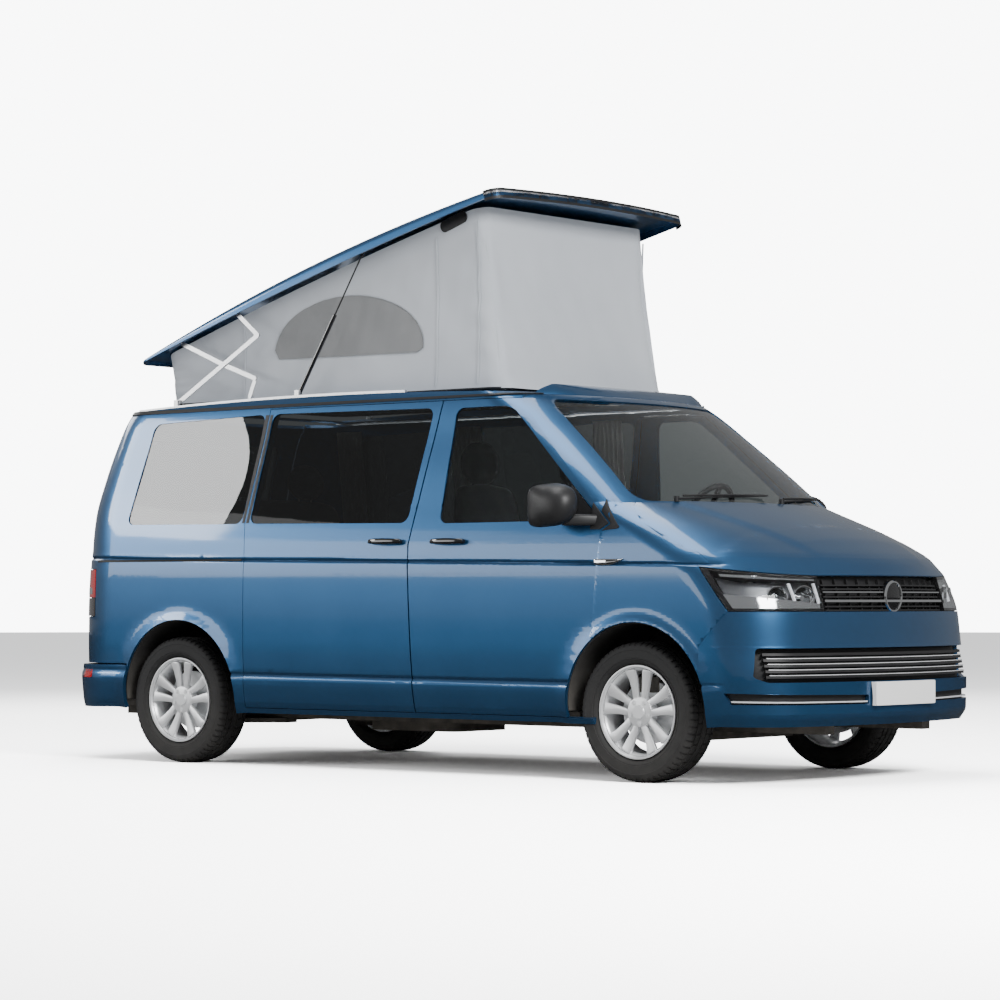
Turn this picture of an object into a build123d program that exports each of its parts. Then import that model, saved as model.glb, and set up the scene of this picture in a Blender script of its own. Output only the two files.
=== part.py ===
from build123d import *
from functools import lru_cache
import math
import os

os.makedirs("parts", exist_ok=True)

# Camper van with a raised pop-up roof.
# Frame: X forward, Y to the left, Z up, origin on the ground at mid-length. Millimetres.

# ---------------------------------------------------------------- driving sizes
LENGTH = 4904.0
WIDTH = 1904.0
FRONT_AXLE_X = 1544.0
REAR_AXLE_X = -1456.0
TRACK = 1628.0

TYRE_RADIUS = 330.0
TYRE_WIDTH = 215.0
RIM_RADIUS = 220.5
RIM_SEAT_RADIUS = 203.0
RIM_WIDTH = 182.0

PANEL_WALL = 48.0
PANEL_DROP = 30.0
PANEL_GAP = 6.0
GLASS_INSET = 5.0
GLASS_THICKNESS = 5.0
GLASS_GAP = 0.3
SEAT_GAP = 0.3
HUB_RECESS = 20.0

BODY_BOTTOM = 272.0
CANTRAIL = 1862.0
ROOF_TOP = 1905.0

ARCH_RADIUS = 405.0
ARCH_Z = 346.0
FRONT_ARCH_X = 1560.0
REAR_ARCH_X = -1418.0
ARCH_INNER_Y = 470.0

TAIL_CURVE = 2500.0
ROOF_CROWN_X = -450.0
ROOF_CROWN_REACH = 3200.0
ROOF_CROWN_PEAK = 1898.0
ROOF_CROWN_END = 1898.0 - 186.0

# Plan outline of the body at each height.
# columns: height, nose x, nose curve radius, nose corner y, half width, tail x, tail corner y
LOWER_SECTIONS = (
    (BODY_BOTTOM, 2405.0, 2700.0, 690.0, 912.0, 2396.0, 640.0),
    (330.0, 2436.0, 2700.0, 700.0, 932.0, 2402.0, 650.0),
    (480.0, 2436.0, 2700.0, 710.0, 945.0, 2408.0, 650.0),
    (640.0, 2408.0, 2700.0, 702.0, 951.0, 2410.0, 650.0),
    (800.0, 2396.0, 2600.0, 690.0, WIDTH / 2.0, 2408.0, 650.0),
    (974.0, 2367.0, 2000.0, 640.0, 950.0, 2400.0, 650.0),
)
BONNET_SECTIONS = (
    (974.0, 2367.0, 2000.0, 640.0, 950.0, 2400.0, 650.0),
    (1045.0, 2318.0, 1750.0, 620.0, 947.0, 2394.0, 650.0),
    (1110.0, 2208.0, 1750.0, 620.0, 941.0, 2388.0, 650.0),
    (1187.0, 2035.0, 1750.0, 650.0, 931.0, 2382.0, 650.0),
    (1254.0, 1858.0, 1750.0, 680.0, 921.0, 2374.0, 650.0),
    (1315.0, 1690.0, 1750.0, 710.0, 911.0, 2364.0, 650.0),
)
UPPER_SECTIONS = (
    (1315.0, 1690.0, 1750.0, 710.0, 911.0, 2364.0, 650.0),
    (1490.0, 1466.0, 1750.0, 690.0, 886.0, 2306.0, 640.0),
    (1665.0, 1228.0, 1750.0, 670.0, 858.0, 2233.0, 630.0),
    (1840.0, 975.0, 1750.0, 650.0, 834.0, 2132.0, 620.0),
)
BROW_SECTIONS = (
    (1840.0, 975.0, 1750.0, 650.0, 834.0, 2132.0, 620.0),
    (1875.0, 900.0, 1750.0, 640.0, 822.0, 2085.0, 615.0),
    (ROOF_TOP, 790.0, 1750.0, 620.0, 790.0, 2010.0, 600.0),
)
SECTION_GROUPS = (LOWER_SECTIONS, BONNET_SECTIONS, UPPER_SECTIONS, BROW_SECTIONS)

GRILLE_SLATS = (812.0, 890.0, 930.0)
LOWER_SLATS = (508.0, 538.0, 568.0, 598.0)
GRILLE_DEPTH = 62.0
PLATE_WIDTH = 520.0
PLATE_HEIGHT = 110.0

FLOOR_LOW = 292.0
FLOOR_HIGH = 322.0
BULKHEAD_X = 1425.0

DASH_HALF = 790.0
GALLEY_REACH = 815.0
STEERING_CENTRE = (1015.0, 400.0, 1270.0)
STEERING_TILT = -62.0

ROOF_PIVOT = (-2646.0, 1895.0)
ROOF_ANGLE = 16.3
ROOF_HALF = 800.0
ROOF_WALL = 14.0
CANVAS_HALF = 690.0
CANVAS_X = (-1752.0, 556.0)
CANVAS_CORNER = 90.0
CANVAS_THICKNESS = 6.0
BAR_THICKNESS = 5.0
BAR_HALF = 12.0
PIN_RADIUS = 5.0
PIN_CLEARANCE = 0.05
PLANE_STEP = 6.0
PLANE_LINK_UPPER = 770.0
RAIL_Y = (782.0, 800.0)
RAIL_X = (-1868.0, 18.0)
ROOF_HOLE_X = (-1700.0, 540.0)
ROOF_HOLE_Y = 640.0
LINK_POCKET_X = (-1000.0, -885.0)
LINK_POCKET_Y = (755.0, 774.0)
LINK_POCKET_TOP = 1950.5

# Linkage points in X and Z with the roof raised.
BAR_A_FOOT = (-1608.0, 1908.0)
CROSSING = (-1281.0, 2095.0)
ELBOW_A = (-1027.0, 2240.0)
BAR_B_HEAD = (-1588.0, 2222.0)
ELBOW_B = (-1057.0, 2014.0)
LINK_HEAD = (-1170.0, 2356.0)
LINK_FOOT = (-1097.0, 1922.0)
STRUT_FOOT = (-733.0, 1926.0)
STRUT_HEAD = (-305.0, 2610.0)
STRUT_CYLINDER = 460.0

FAR = 1300.0


# ---------------------------------------------------------------- shared shapes
def end_outline(end_x, curve, corner_y, half_width, sign, inset):
    """Arc points of one end of a plan outline, from the right side round to the left."""
    angle = math.asin(corner_y / curve)
    centre_x = end_x - curve
    corner_radius = (half_width - corner_y) / (1.0 - math.sin(angle))
    corner_x = centre_x + curve * math.cos(angle) - corner_radius * math.cos(angle)
    corner_mid_y = corner_y - corner_radius * math.sin(angle)
    radius = corner_radius - inset
    half_turn = (angle + math.pi / 2.0) / 2.0

    def corner_point(turn, side):
        x = corner_x + radius * math.cos(turn)
        y = corner_mid_y + radius * math.sin(turn)
        return (sign * x, side * y)

    turns = (math.pi / 2.0, half_turn, angle)
    right = [corner_point(turn, -1) for turn in turns]
    left = [corner_point(turn, 1) for turn in reversed(turns)]
    return right, (sign * (end_x - inset), 0.0), left


def plan_wire(section, inset, drop):
    """Closed plan outline at one height, made of arcs and straight sides."""
    height, nose_x, nose_curve, nose_y, half_width, tail_x, tail_y = section
    z = height - drop
    n_right, n_mid, n_left = end_outline(nose_x, nose_curve, nose_y, half_width, 1, inset)
    t_right, t_mid, t_left = end_outline(tail_x, TAIL_CURVE, tail_y, half_width, -1, inset)

    def arc(a, b, c):
        return ThreePointArc((a[0], a[1], z), (b[0], b[1], z), (c[0], c[1], z))

    edges = [
        arc(n_right[0], n_right[1], n_right[2]),
        arc(n_right[2], n_mid, n_left[0]),
        arc(n_left[0], n_left[1], n_left[2]),
        Line((n_left[2][0], n_left[2][1], z), (t_left[2][0], t_left[2][1], z)),
        arc(t_left[2], t_left[1], t_left[0]),
        arc(t_left[0], t_mid, t_right[2]),
        arc(t_right[2], t_right[1], t_right[0]),
        Line((t_right[0][0], t_right[0][1], z), (n_right[0][0], n_right[0][1], z)),
    ]
    return Wire(edges)


@lru_cache(maxsize=None)
def body_block(inset=0.0, drop=0.0):
    """The body's outer form, moved inwards by inset and downwards by drop."""
    blocks = []
    for sections in SECTION_GROUPS:
        wires = [plan_wire(section, inset, drop) for section in sections]
        blocks.append(Solid.make_loft(wires, False))
    block = blocks[0]
    for other in blocks[1:]:
        block = block + other
    return block & under_roof(drop)


def under_roof(drop):
    """Everything below the fixed roof's long crown, moved downwards by drop."""
    ends = ROOF_CROWN_END - drop
    peak = ROOF_CROWN_PEAK - drop
    low_x = ROOF_CROWN_X - ROOF_CROWN_REACH
    high_x = ROOF_CROWN_X + ROOF_CROWN_REACH
    crown = ThreePointArc((low_x, 0, ends), (ROOF_CROWN_X, 0, peak), (high_x, 0, ends))
    rest = Polyline((high_x, 0, ends), (high_x, 0, 0), (low_x, 0, 0), (low_x, 0, ends))
    face = make_face(Wire([crown, *rest.edges()]))
    return extrude(face, amount=FAR, dir=(0, 1, 0), both=True)


def grown(face, amount):
    """The face with its outline moved outwards, or inwards for a negative amount."""
    if amount == 0:
        return face
    return offset(face, amount=amount, kind=Kind.INTERSECTION)


def side_prism(points, y_low, y_high, radius=0.0, grow=0.0):
    """Extrusion along Y of an outline given in X and Z."""
    face = make_face(Polyline(*[(x, 0, z) for x, z in points], close=True))
    if radius:
        face = fillet(face.vertices(), radius)
    face = grown(face, grow)
    return Pos(0, y_low, 0) * extrude(face, amount=y_high - y_low, dir=(0, 1, 0))


def plan_prism(section, inset, z_low, z_high):
    """Extrusion along Z of one plan outline of the body."""
    face = make_face(plan_wire(section, inset, section[0] - z_low))
    return extrude(face, amount=z_high - z_low, dir=(0, 0, 1))


def front_prism(points, x_low, x_high, radius=0.0, grow=0.0):
    """Extrusion along X of an outline given in Y and Z."""
    face = make_face(Polyline(*[(0, y, z) for y, z in points], close=True))
    if radius:
        face = fillet(face.vertices(), radius)
    face = grown(face, grow)
    return Pos(x_low, 0, 0) * extrude(face, amount=x_high - x_low, dir=(1, 0, 0))


def span_box(x_low, x_high, y_low, y_high, z_low, z_high):
    """Box between two corners."""
    box = Box(x_high - x_low, y_high - y_low, z_high - z_low)
    return Pos((x_low + x_high) / 2.0, (y_low + y_high) / 2.0, (z_low + z_high) / 2.0) * box


def cylinder_y(x, z, radius, y_low, y_high):
    """Cylinder along Y."""
    return Pos(x, (y_low + y_high) / 2.0, z) * (Rot(90, 0, 0) * Cylinder(radius, y_high - y_low))


def rod_between(start, end, radius):
    """Round rod from one point to another."""
    a = Vector(*start)
    b = Vector(*end)
    plane = Plane(origin=a, z_dir=(b - a))
    return plane * (Pos(0, 0, (b - a).length / 2.0) * Cylinder(radius, (b - a).length))


def mirrored(shape):
    """The same shape on the other side of the vehicle."""
    return mirror(shape, about=Plane.XZ)


def save(name, *shapes):
    """Write one node's solids to its STEP file."""
    solids = []
    for shape in shapes:
        solids.extend(shape.solids())
    export_step(Compound(children=solids), "parts/" + name + ".step")


# ---------------------------------------------------------------- body outlines (X, Z)
FRONT_DOOR = ((205, 302), (1314, 302), (1314, 736), (1350, 1184), (1400, 1215), (752, 1838), (306, 1838), (162, 1126))
SLIDING_DOOR = ((-951, 302), (197, 302), (154, 1126), (298, 1838), (-864, 1838), (-966, 1240), (-951, 1061))
QUARTER_WINDOW = ((-1838, 1255), (-992, 1247), (-894, 1815), (-1700, 1790))
MIDDLE_WINDOW = ((-938, 1247), (140, 1235), (250, 1805), (-842, 1815))
FRONT_WINDOW = ((348, 1230), (1345, 1232), (735, 1800), (395, 1800))
WINDSCREEN = ((-806, 1322), (806, 1322), (690, 1836), (-690, 1836))
TAILGATE = ((-765, 524), (765, 524), (765, 1100), (668, 1856), (-668, 1856))
TAILGATE_WINDOW = ((-650, 1190), (650, 1190), (580, 1740), (-580, 1740))

SIDE_REGION = (
    (-2500, 518), (-1796, 518), (-1796, BODY_BOTTOM - 2), (1314, BODY_BOTTOM - 2), (1314, 736),
    (1350, 1184), (1400, 1215), (752, 1838), (752, CANTRAIL), (-2500, CANTRAIL),
)
WING_REGION = (
    (1314, BODY_BOTTOM - 2), (1314, 736), (1350, 1184), (1400, 1215), (1400, 1315), (1470, 1315), (1480, 1297),
    (1560, 1228), (1705, 1147), (1905, 1070), (1965, 1020), (1914, 1010), (2081, 800), (1930, 640),
    (1930, BODY_BOTTOM - 2),
)
BONNET_REGION = (
    (1914, 1010), (1965, 1020), (1905, 1070), (1705, 1147), (1560, 1228), (1480, 1297), (1470, 1315),
    (2500, 1315), (2500, 972), (2298, 968),
)
LAMP_REGION = ((1914, 1010), (2298, 968), (2500, 968), (2500, 800), (2081, 800))
BUMPER_REGION = (
    (1930, BODY_BOTTOM - 2), (1930, 640), (2081, 800), (2500, 800), (2500, BODY_BOTTOM - 2),
)
FRAME_REGION = (
    (1400, 1215), (1400, 1315), (2500, 1315), (2500, CANTRAIL), (752, CANTRAIL), (752, 1838),
)
GRILLE_HALF = 522.0
GRILLE_LOW = 764.0
GRILLE_HIGH = 972.0
LOWER_GRILLE = ((-860, 477), (860, 477), (900, 500), (880, 633), (-880, 633), (-900, 500))
BUMPER_TOP = 512.0
LAMP_LOW = 768.0
LAMP_HIGH = 1018.0
LAMP_X = -2072.0

WINDOW_CORNER = 45.0
DOOR_DEPTH = 53.0
FRAME_DEPTH = 95.0
APERTURE_SHRINK = 45.0

REAR_BUMPER_SECTIONS = (
    (286.0, 2436.0, 2700.0, 700.0, 930.0, 2425.0, 740.0),
    (370.0, 2436.0, 2700.0, 700.0, 950.0, LENGTH / 2.0, 750.0),
    (470.0, 2436.0, 2700.0, 710.0, 952.0, LENGTH / 2.0, 750.0),
    (BUMPER_TOP, 2436.0, 2700.0, 710.0, 951.0, 2420.0, 720.0),
)


# ---------------------------------------------------------------- body panels
ROOF_HOLE = span_box(ROOF_HOLE_X[0], ROOF_HOLE_X[1], -ROOF_HOLE_Y, ROOF_HOLE_Y, 1800, 2000)
OUTER = body_block()
INNER = body_block(PANEL_WALL, PANEL_DROP)
SHELL = OUTER - INNER
POCKET_BLOCK = body_block(DOOR_DEPTH, PANEL_DROP)
LINING_BLOCK = body_block(FRAME_DEPTH, PANEL_DROP)
GLASS_SHELL = body_block(GLASS_INSET, 0) - body_block(GLASS_INSET + GLASS_THICKNESS, 0)

ARCHES = []
for arch_x in (FRONT_ARCH_X, REAR_ARCH_X):
    for side in (-1, 1):
        low, high = sorted((side * ARCH_INNER_Y, side * FAR))
        ARCHES.append(cylinder_y(arch_x, ARCH_Z, ARCH_RADIUS, low, high))


def side_range(side, y_inner=300.0):
    """Low and high Y of one side of the vehicle."""
    return sorted((side * y_inner, side * FAR))


def panel(points, low, high, radius=0.0):
    """Part of the body shell inside an outline, less half a panel gap all round."""
    return SHELL & side_prism(points, low, high, radius, -PANEL_GAP / 2.0)


def window_glass(points, low, high, radius):
    """Curved pane that fills a window outline."""
    return GLASS_SHELL & side_prism(points, low, high, radius, -GLASS_GAP)


def body_side(side, doors, windows):
    """Monocoque side with door rebates, apertures and windows."""
    low, high = side_range(side)
    region = side_prism(SIDE_REGION, low, high, 0.0, -0.5)
    tail = front_prism(TAILGATE, -2600, -1900, 0.0, PANEL_GAP)
    skin = (SHELL & region) - tail - ROOF_HOLE
    frame = None
    ring_source = (body_block(PANEL_WALL - 8.0, PANEL_DROP) - LINING_BLOCK) & region
    for door in doors:
        ring = ring_source & side_prism(door, low, high, 0.0, 22.0)
        frame = ring if frame is None else frame + ring
    result = skin + frame
    for door in doors:
        pocket = side_prism(door, low, high, 0.0, PANEL_GAP / 2.0) - POCKET_BLOCK
        result = result - pocket
        result = result - side_prism(door, low, high, 0.0, -APERTURE_SHRINK)
    for window in windows:
        result = result - side_prism(window, low, high, WINDOW_CORNER)
    lamp_low, lamp_high = sorted((side * 700.0, side * FAR))
    result = result - span_box(-2600, LAMP_X + 2, lamp_low, lamp_high, LAMP_LOW - 2, LAMP_HIGH + 2)
    for arch in ARCHES:
        result = result - arch
    return result


def door_panel(points, window, side):
    """One door with its window cut."""
    low, high = side_range(side)
    door = panel(points, low, high)
    door = door - side_prism(window, low, high, WINDOW_CORNER)
    for arch in ARCHES:
        door = door - arch
    return door


def make_body():
    """Body panels and fixed glass."""
    save("body_side_right", body_side(-1, (FRONT_DOOR, SLIDING_DOOR), (QUARTER_WINDOW,)))
    save("body_side_left", body_side(1, (FRONT_DOOR,), (QUARTER_WINDOW, MIDDLE_WINDOW)))
    save("sliding_door", door_panel(SLIDING_DOOR, MIDDLE_WINDOW, -1))
    save("sliding_door_glass", window_glass(MIDDLE_WINDOW, -FAR, -300, WINDOW_CORNER))
    save("door_right", door_panel(FRONT_DOOR, FRONT_WINDOW, -1))
    save("door_left", door_panel(FRONT_DOOR, FRONT_WINDOW, 1))
    save("door_glass_right", window_glass(FRONT_WINDOW, -FAR, -300, WINDOW_CORNER))
    save("door_glass_left", window_glass(FRONT_WINDOW, 300, FAR, WINDOW_CORNER))
    quarter_right = window_glass(QUARTER_WINDOW, -FAR, -300, WINDOW_CORNER)
    quarter_left = window_glass(QUARTER_WINDOW, 300, FAR, WINDOW_CORNER)
    middle_left = window_glass(MIDDLE_WINDOW, 300, FAR, WINDOW_CORNER)
    save("side_windows", quarter_right, quarter_left, middle_left)

    wing = panel(WING_REGION, 300, FAR)
    for arch in ARCHES:
        wing = wing - arch
    save("front_wings", wing, mirrored(wing))

    cowl = plan_prism(UPPER_SECTIONS[0], -PANEL_GAP, 900.0, 1400.0)
    bonnet = panel(BONNET_REGION, -FAR, FAR) - cowl
    save("bonnet", bonnet)

    frame = SHELL & side_prism(FRAME_REGION, -FAR, FAR, 0.0, -0.5)
    frame = frame - front_prism(WINDSCREEN, 600, 2100, 60.0)
    save("windscreen_frame", frame)
    save("windscreen", GLASS_SHELL & front_prism(WINDSCREEN, 760, 2100, 60.0, -GLASS_GAP))

    lamp = (OUTER - body_block(150.0, 0)) & side_prism(LAMP_REGION, GRILLE_HALF - 2 + SEAT_GAP, FAR, 0.0, -2.0)
    save("headlamps", lamp, mirrored(lamp))

    bumper = panel(BUMPER_REGION, -FAR, FAR)
    bumper = bumper - span_box(2000, 2600, -GRILLE_HALF, GRILLE_HALF, GRILLE_LOW, 1000)
    bumper = bumper - front_prism(LOWER_GRILLE, 2000, 2600)
    for arch in ARCHES:
        bumper = bumper - arch
    save("front_bumper", bumper)

    roof = SHELL & span_box(-2600, 1200, -FAR, FAR, CANTRAIL + 2, ROOF_TOP + 10)
    save("roof_frame", roof - ROOF_HOLE)

    tailgate = SHELL & front_prism(TAILGATE, -2600, -1900)
    tailgate = tailgate - front_prism(TAILGATE_WINDOW, -2600, -1900, 50.0)
    save("tailgate", tailgate)
    save("tailgate_glass", GLASS_SHELL & front_prism(TAILGATE_WINDOW, -2600, -1900, 50.0, -GLASS_GAP))

    lamp_region = span_box(-2600, LAMP_X, 765 + PANEL_GAP, FAR, LAMP_LOW, LAMP_HIGH)
    tail_lamp = SHELL & lamp_region
    save("tail_lamps", tail_lamp, mirrored(tail_lamp))

    wires = [plan_wire(section, 0, 0) for section in REAR_BUMPER_SECTIONS]
    bumper = Solid.make_loft(wires, False) - INNER
    bumper = bumper & span_box(-2600, -1796, -FAR, FAR, 200, 600)
    for arch in ARCHES:
        bumper = bumper - arch
    save("rear_bumper", bumper)


def grille_layer(depth, zone):
    """Part of a zone between a depth below the skin and the back of the grille."""
    return (body_block(depth, 0) & zone) - body_block(GRILLE_DEPTH, 0)


def make_front_end():
    """Grilles, plate and liners."""
    grille_zone = span_box(2200, 2600, -GRILLE_HALF + 2, GRILLE_HALF - 2, GRILLE_LOW + SEAT_GAP, GRILLE_HIGH - 2)
    back = grille_layer(50.0, grille_zone)
    frame_band = grille_layer(4.0, grille_zone)
    inner_zone = span_box(2200, 2600, -GRILLE_HALF + 22, GRILLE_HALF - 22, GRILLE_LOW + 18, GRILLE_HIGH - 16)
    frame_band = frame_band - inner_zone
    grille = back + frame_band
    slat_layer = grille_layer(8.0, span_box(2200, 2600, -GRILLE_HALF + 4, GRILLE_HALF - 4, GRILLE_LOW, GRILLE_HIGH))
    for z in GRILLE_SLATS:
        grille = grille + (slat_layer & span_box(2200, 2600, -FAR, FAR, z - 7, z + 7))
    badge = Pos(2336, 0, 871) * (Rot(0, 90, 0) * Cylinder(75, 90))
    grille = grille + badge
    save("upper_grille", grille)

    zone = front_prism(LOWER_GRILLE, 2000, 2600, 0.0, -SEAT_GAP)
    band = grille_layer(4.0, zone) - front_prism(LOWER_GRILLE, 2000, 2600, 0.0, -18.0)
    grille = grille_layer(50.0, zone) + band
    slat_layer = grille_layer(8.0, zone)
    for z in LOWER_SLATS:
        grille = grille + (slat_layer & span_box(2000, 2600, -FAR, FAR, z - 6, z + 6))
    save("lower_grille", grille)

    plate = span_box(2446, LENGTH / 2.0, -PLATE_WIDTH / 2.0, PLATE_WIDTH / 2.0, 363, 363 + PLATE_HEIGHT)
    plate = fillet(plate.edges().filter_by(Axis.X), 8)
    carrier = span_box(2425, 2445.7, -PLATE_WIDTH / 2.0, PLATE_WIDTH / 2.0, 363, 363 + PLATE_HEIGHT)
    carrier = carrier - body_block(-0.3, 0)
    save("number_plate", plate, carrier)

    liners = []
    for arch_x in (FRONT_ARCH_X, REAR_ARCH_X):
        outer = cylinder_y(arch_x, ARCH_Z, ARCH_RADIUS - 0.4, ARCH_INNER_Y, FAR)
        hollow = cylinder_y(arch_x, ARCH_Z, ARCH_RADIUS - 5, ARCH_INNER_Y + 5, FAR)
        low_cut = span_box(-3000, 3000, 0, FAR, -10, 330)
        axle_cut = span_box(arch_x - 200, arch_x + 200, 0, ARCH_INNER_Y + 6, 0, 560)
        liner = ((outer - hollow) & body_block(4.0, 0)) - low_cut - axle_cut
        liners.append(liner)
        liners.append(mirrored(liner))
    save("wheel_liners", *liners)


# ---------------------------------------------------------------- underbody
def make_underbody():
    """Floor, bulkhead, engine, axles, tank and exhaust."""
    floor = LINING_BLOCK & span_box(-2390, BULKHEAD_X, -FAR, FAR, FLOOR_LOW, FLOOR_HIGH)
    rails = None
    for y in (-420.0, 420.0):
        rail = span_box(-2300, 2300, y - 35, y + 35, 230, FLOOR_LOW)
        rails = rail if rails is None else rails + rail
    floor = floor + rails
    for x in (-700.0, 100.0, 1000.0):
        floor = floor + span_box(x - 30, x + 30, -420, 420, 262, FLOOR_LOW)
    floor = floor + (body_block(PANEL_WALL + SEAT_GAP, PANEL_DROP) & span_box(2270, 2600, -600, 600, 286, 380))
    for arch in ARCHES:
        floor = floor - arch
    save("floor_pan", floor)

    lined = body_block(PANEL_WALL + SEAT_GAP, PANEL_DROP)
    wall = lined & span_box(BULKHEAD_X + 1, BULKHEAD_X + 25, -FAR, FAR, 330, 1290)
    shelf = lined & span_box(BULKHEAD_X + 1, 1690, -840, 840, 1268, 1290)
    bulkhead = wall + shelf
    for arch in ARCHES:
        bulkhead = bulkhead - arch
    foot = span_box(BULKHEAD_X + 1, BULKHEAD_X + 25, -380, 380, 292.5, 335)
    save("bulkhead", bulkhead + foot)

    engine = span_box(1640, 2160, -340, 340, 300, 860)
    save("engine_block", engine)

    beam = span_box(1440, 1560, -370, 370, 180, 228)
    front = beam
    for side in (-1, 1):
        arm = make_face(Polyline((1470, side * 360), (1600, side * 360), (1572, side * 715), (1516, side * 715),
                                 close=True))
        front = front + Pos(0, 0, 196) * extrude(arm, amount=24)
    save("front_subframe", front)

    rear = span_box(-1500, -1400, -390, 390, 200, 229)
    for side in (-1, 1):
        arm = make_face(Polyline((-1500, side * 380), (-1100, side * 380), (-1100, side * 460), (-1410, side * 700),
                                 (-1500, side * 700), close=True))
        rear = rear + Pos(0, 0, 205) * extrude(arm, amount=24)
        upright = span_box(-1495, -1417, min(side * 660, side * 700), max(side * 660, side * 700), 205, 400)
        reach = TRACK / 2.0 + HUB_RECESS - SEAT_GAP
        stub = cylinder_y(REAR_AXLE_X, TYRE_RADIUS, 34, *sorted((side * 690, side * reach)))
        rear = rear + upright + stub
    save("rear_axle", rear)

    tank = span_box(-600, 0, -380, 60, 180, FLOOR_LOW - SEAT_GAP)
    tank = fillet(tank.edges().filter_by(Axis.Z), 60)
    save("fuel_tank", tank)

    pipe = rod_between((1400, 200, 225), (-800, 200, 225), 28)
    silencer = span_box(-1120, -780, 90, 350, 175, 285)
    silencer = fillet(silencer.edges().filter_by(Axis.X), 40)
    tail = rod_between((-1100, 200, 262), (-2330, 200, 262), 22)
    hanger = span_box(-980, -960, 205, 235, 280, FLOOR_LOW - SEAT_GAP)
    save("exhaust", pipe + silencer + tail + hanger)


# ---------------------------------------------------------------- wheels
def tyre_profile():
    """Half section of a tyre in Y (across) and Z (radius)."""
    w = TYRE_WIDTH / 2.0
    r = TYRE_RADIUS
    seat = RIM_SEAT_RADIUS + 1.3
    bead = RIM_WIDTH / 2.0 - 12.4
    right = ((bead, seat), (bead, RIM_RADIUS + 1.5), (w - 4, RIM_RADIUS + 20), (w, RIM_RADIUS + 54),
             (w - 4, r - 30), (w - 15, r - 9), (w - 38, r))
    left = tuple((-across, radius) for across, radius in reversed(right))
    return right + left


def turned(points, x, y, z):
    """Ring turned about a line along Y through a point: points give Y offset and radius."""
    face = make_face(Polyline(*[(0, across, radius) for across, radius in points], close=True))
    return Pos(x, y, z) * revolve(face, Axis.Y)


def rim_solid():
    """Alloy rim with five twin spokes and brake disc; its outer face points to the left."""
    w = RIM_WIDTH / 2.0
    barrel = (
        (w + 2, RIM_RADIUS), (w - 8, RIM_RADIUS), (w - 12, RIM_SEAT_RADIUS + 1),
        (-w + 12, RIM_SEAT_RADIUS + 1), (-w + 8, RIM_RADIUS), (-w, RIM_RADIUS),
        (-w, RIM_RADIUS - 12), (-w + 12, RIM_SEAT_RADIUS - 8), (w - 24, RIM_SEAT_RADIUS - 12),
        (w + 2, RIM_RADIUS - 9),
    )
    rim = turned(barrel, 0, 0, 0) + cylinder_y(0, 0, 74, 30, 66)
    inner = RIM_SEAT_RADIUS - 10.0
    for spoke in range(5):
        for lean in (-1, 1):
            blade = make_face(Polyline((lean * 10, 0, 40), (lean * 34, 0, 52), (lean * 62, 0, inner),
                                       (lean * 20, 0, inner), close=True))
            blade = Pos(0, 44, 0) * extrude(blade, amount=26, dir=(0, 1, 0))
            rim = rim + Rot(0, spoke * 72.0, 0) * blade
    rim = rim + cylinder_y(0, 0, 32, 60, 72)
    for bolt in range(5):
        angle = math.radians(bolt * 72.0 + 36.0)
        rim = rim - cylinder_y(56 * math.sin(angle), 56 * math.cos(angle), 9, 55, 80)
    disc = cylinder_y(0, 0, 150, 2, 29.7) - cylinder_y(0, 0, 60, -5, HUB_RECESS)
    return rim + disc


def make_wheels():
    """Four wheels, front knuckles and calipers."""
    tyre = turned(tyre_profile(), 0, 0, 0)
    left_rim = rim_solid()
    rims = {"left": left_rim, "right": mirrored(left_rim)}
    for end, axle_x in (("front", FRONT_AXLE_X), ("rear", REAR_AXLE_X)):
        for name, side in (("left", 1), ("right", -1)):
            place = Pos(axle_x, side * TRACK / 2.0, TYRE_RADIUS)
            save("tyre_" + end + "_" + name, place * tyre)
            save("rim_" + end + "_" + name, place * rims[name])
    knuckle = span_box(FRONT_AXLE_X - 35, FRONT_AXLE_X + 35, 700, 770, 221, 440)
    hub = cylinder_y(FRONT_AXLE_X, TYRE_RADIUS, 46, 700, TRACK / 2.0 + HUB_RECESS - SEAT_GAP)
    arm = span_box(FRONT_AXLE_X - 150, FRONT_AXLE_X - 30, 700, 730, 320, 345)
    caliper = span_box(FRONT_AXLE_X - 60, FRONT_AXLE_X + 60, 770, 812, 420, 492)
    bracket = span_box(FRONT_AXLE_X - 30, FRONT_AXLE_X + 30, 740, 780, 420, 470)
    knuckle = knuckle + hub + arm + caliper + bracket
    save("knuckle_left", knuckle)
    save("knuckle_right", mirrored(knuckle))


# ---------------------------------------------------------------- doors' fittings and interior
def make_mirrors():
    """Door mirrors."""
    housing = Box(120, 200, 178)
    housing = fillet(housing.edges(), 34)
    housing = Pos(1175, -1048, 1312) * (Rot(0, 0, -22) * housing)
    foot = span_box(1235, 1330, -1000, -925, 1205, 1240)
    foot = fillet(foot.edges().filter_by(Axis.X), 10)
    stem = span_box(1190, 1260, -1010, -960, 1210, 1250)
    mirror_right = (housing + foot + stem) - body_block(-0.3, 0)
    save("mirror_right", mirror_right)
    save("mirror_left", mirrored(mirror_right))


def seat(y, width):
    """One seat with cushion, back and head restraint."""
    low = y - width / 2.0
    high = y + width / 2.0
    base = side_prism(((330, 323), (760, 323), (740, 640), (350, 640)), low + 60, high - 60)
    cushion = side_prism(((300, 640), (820, 650), (830, 760), (780, 800), (320, 770)), low, high, 20)
    back = side_prism(((230, 760), (340, 760), (250, 1430), (150, 1430)), low + 15, high - 15, 20)
    rest = side_prism(((130, 1450), (220, 1450), (215, 1640), (140, 1640)), y - 130, y + 130, 30)
    post = span_box(165, 185, y - 10, y + 10, 1400, 1500)
    return base + cushion + back + rest + post


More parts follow.
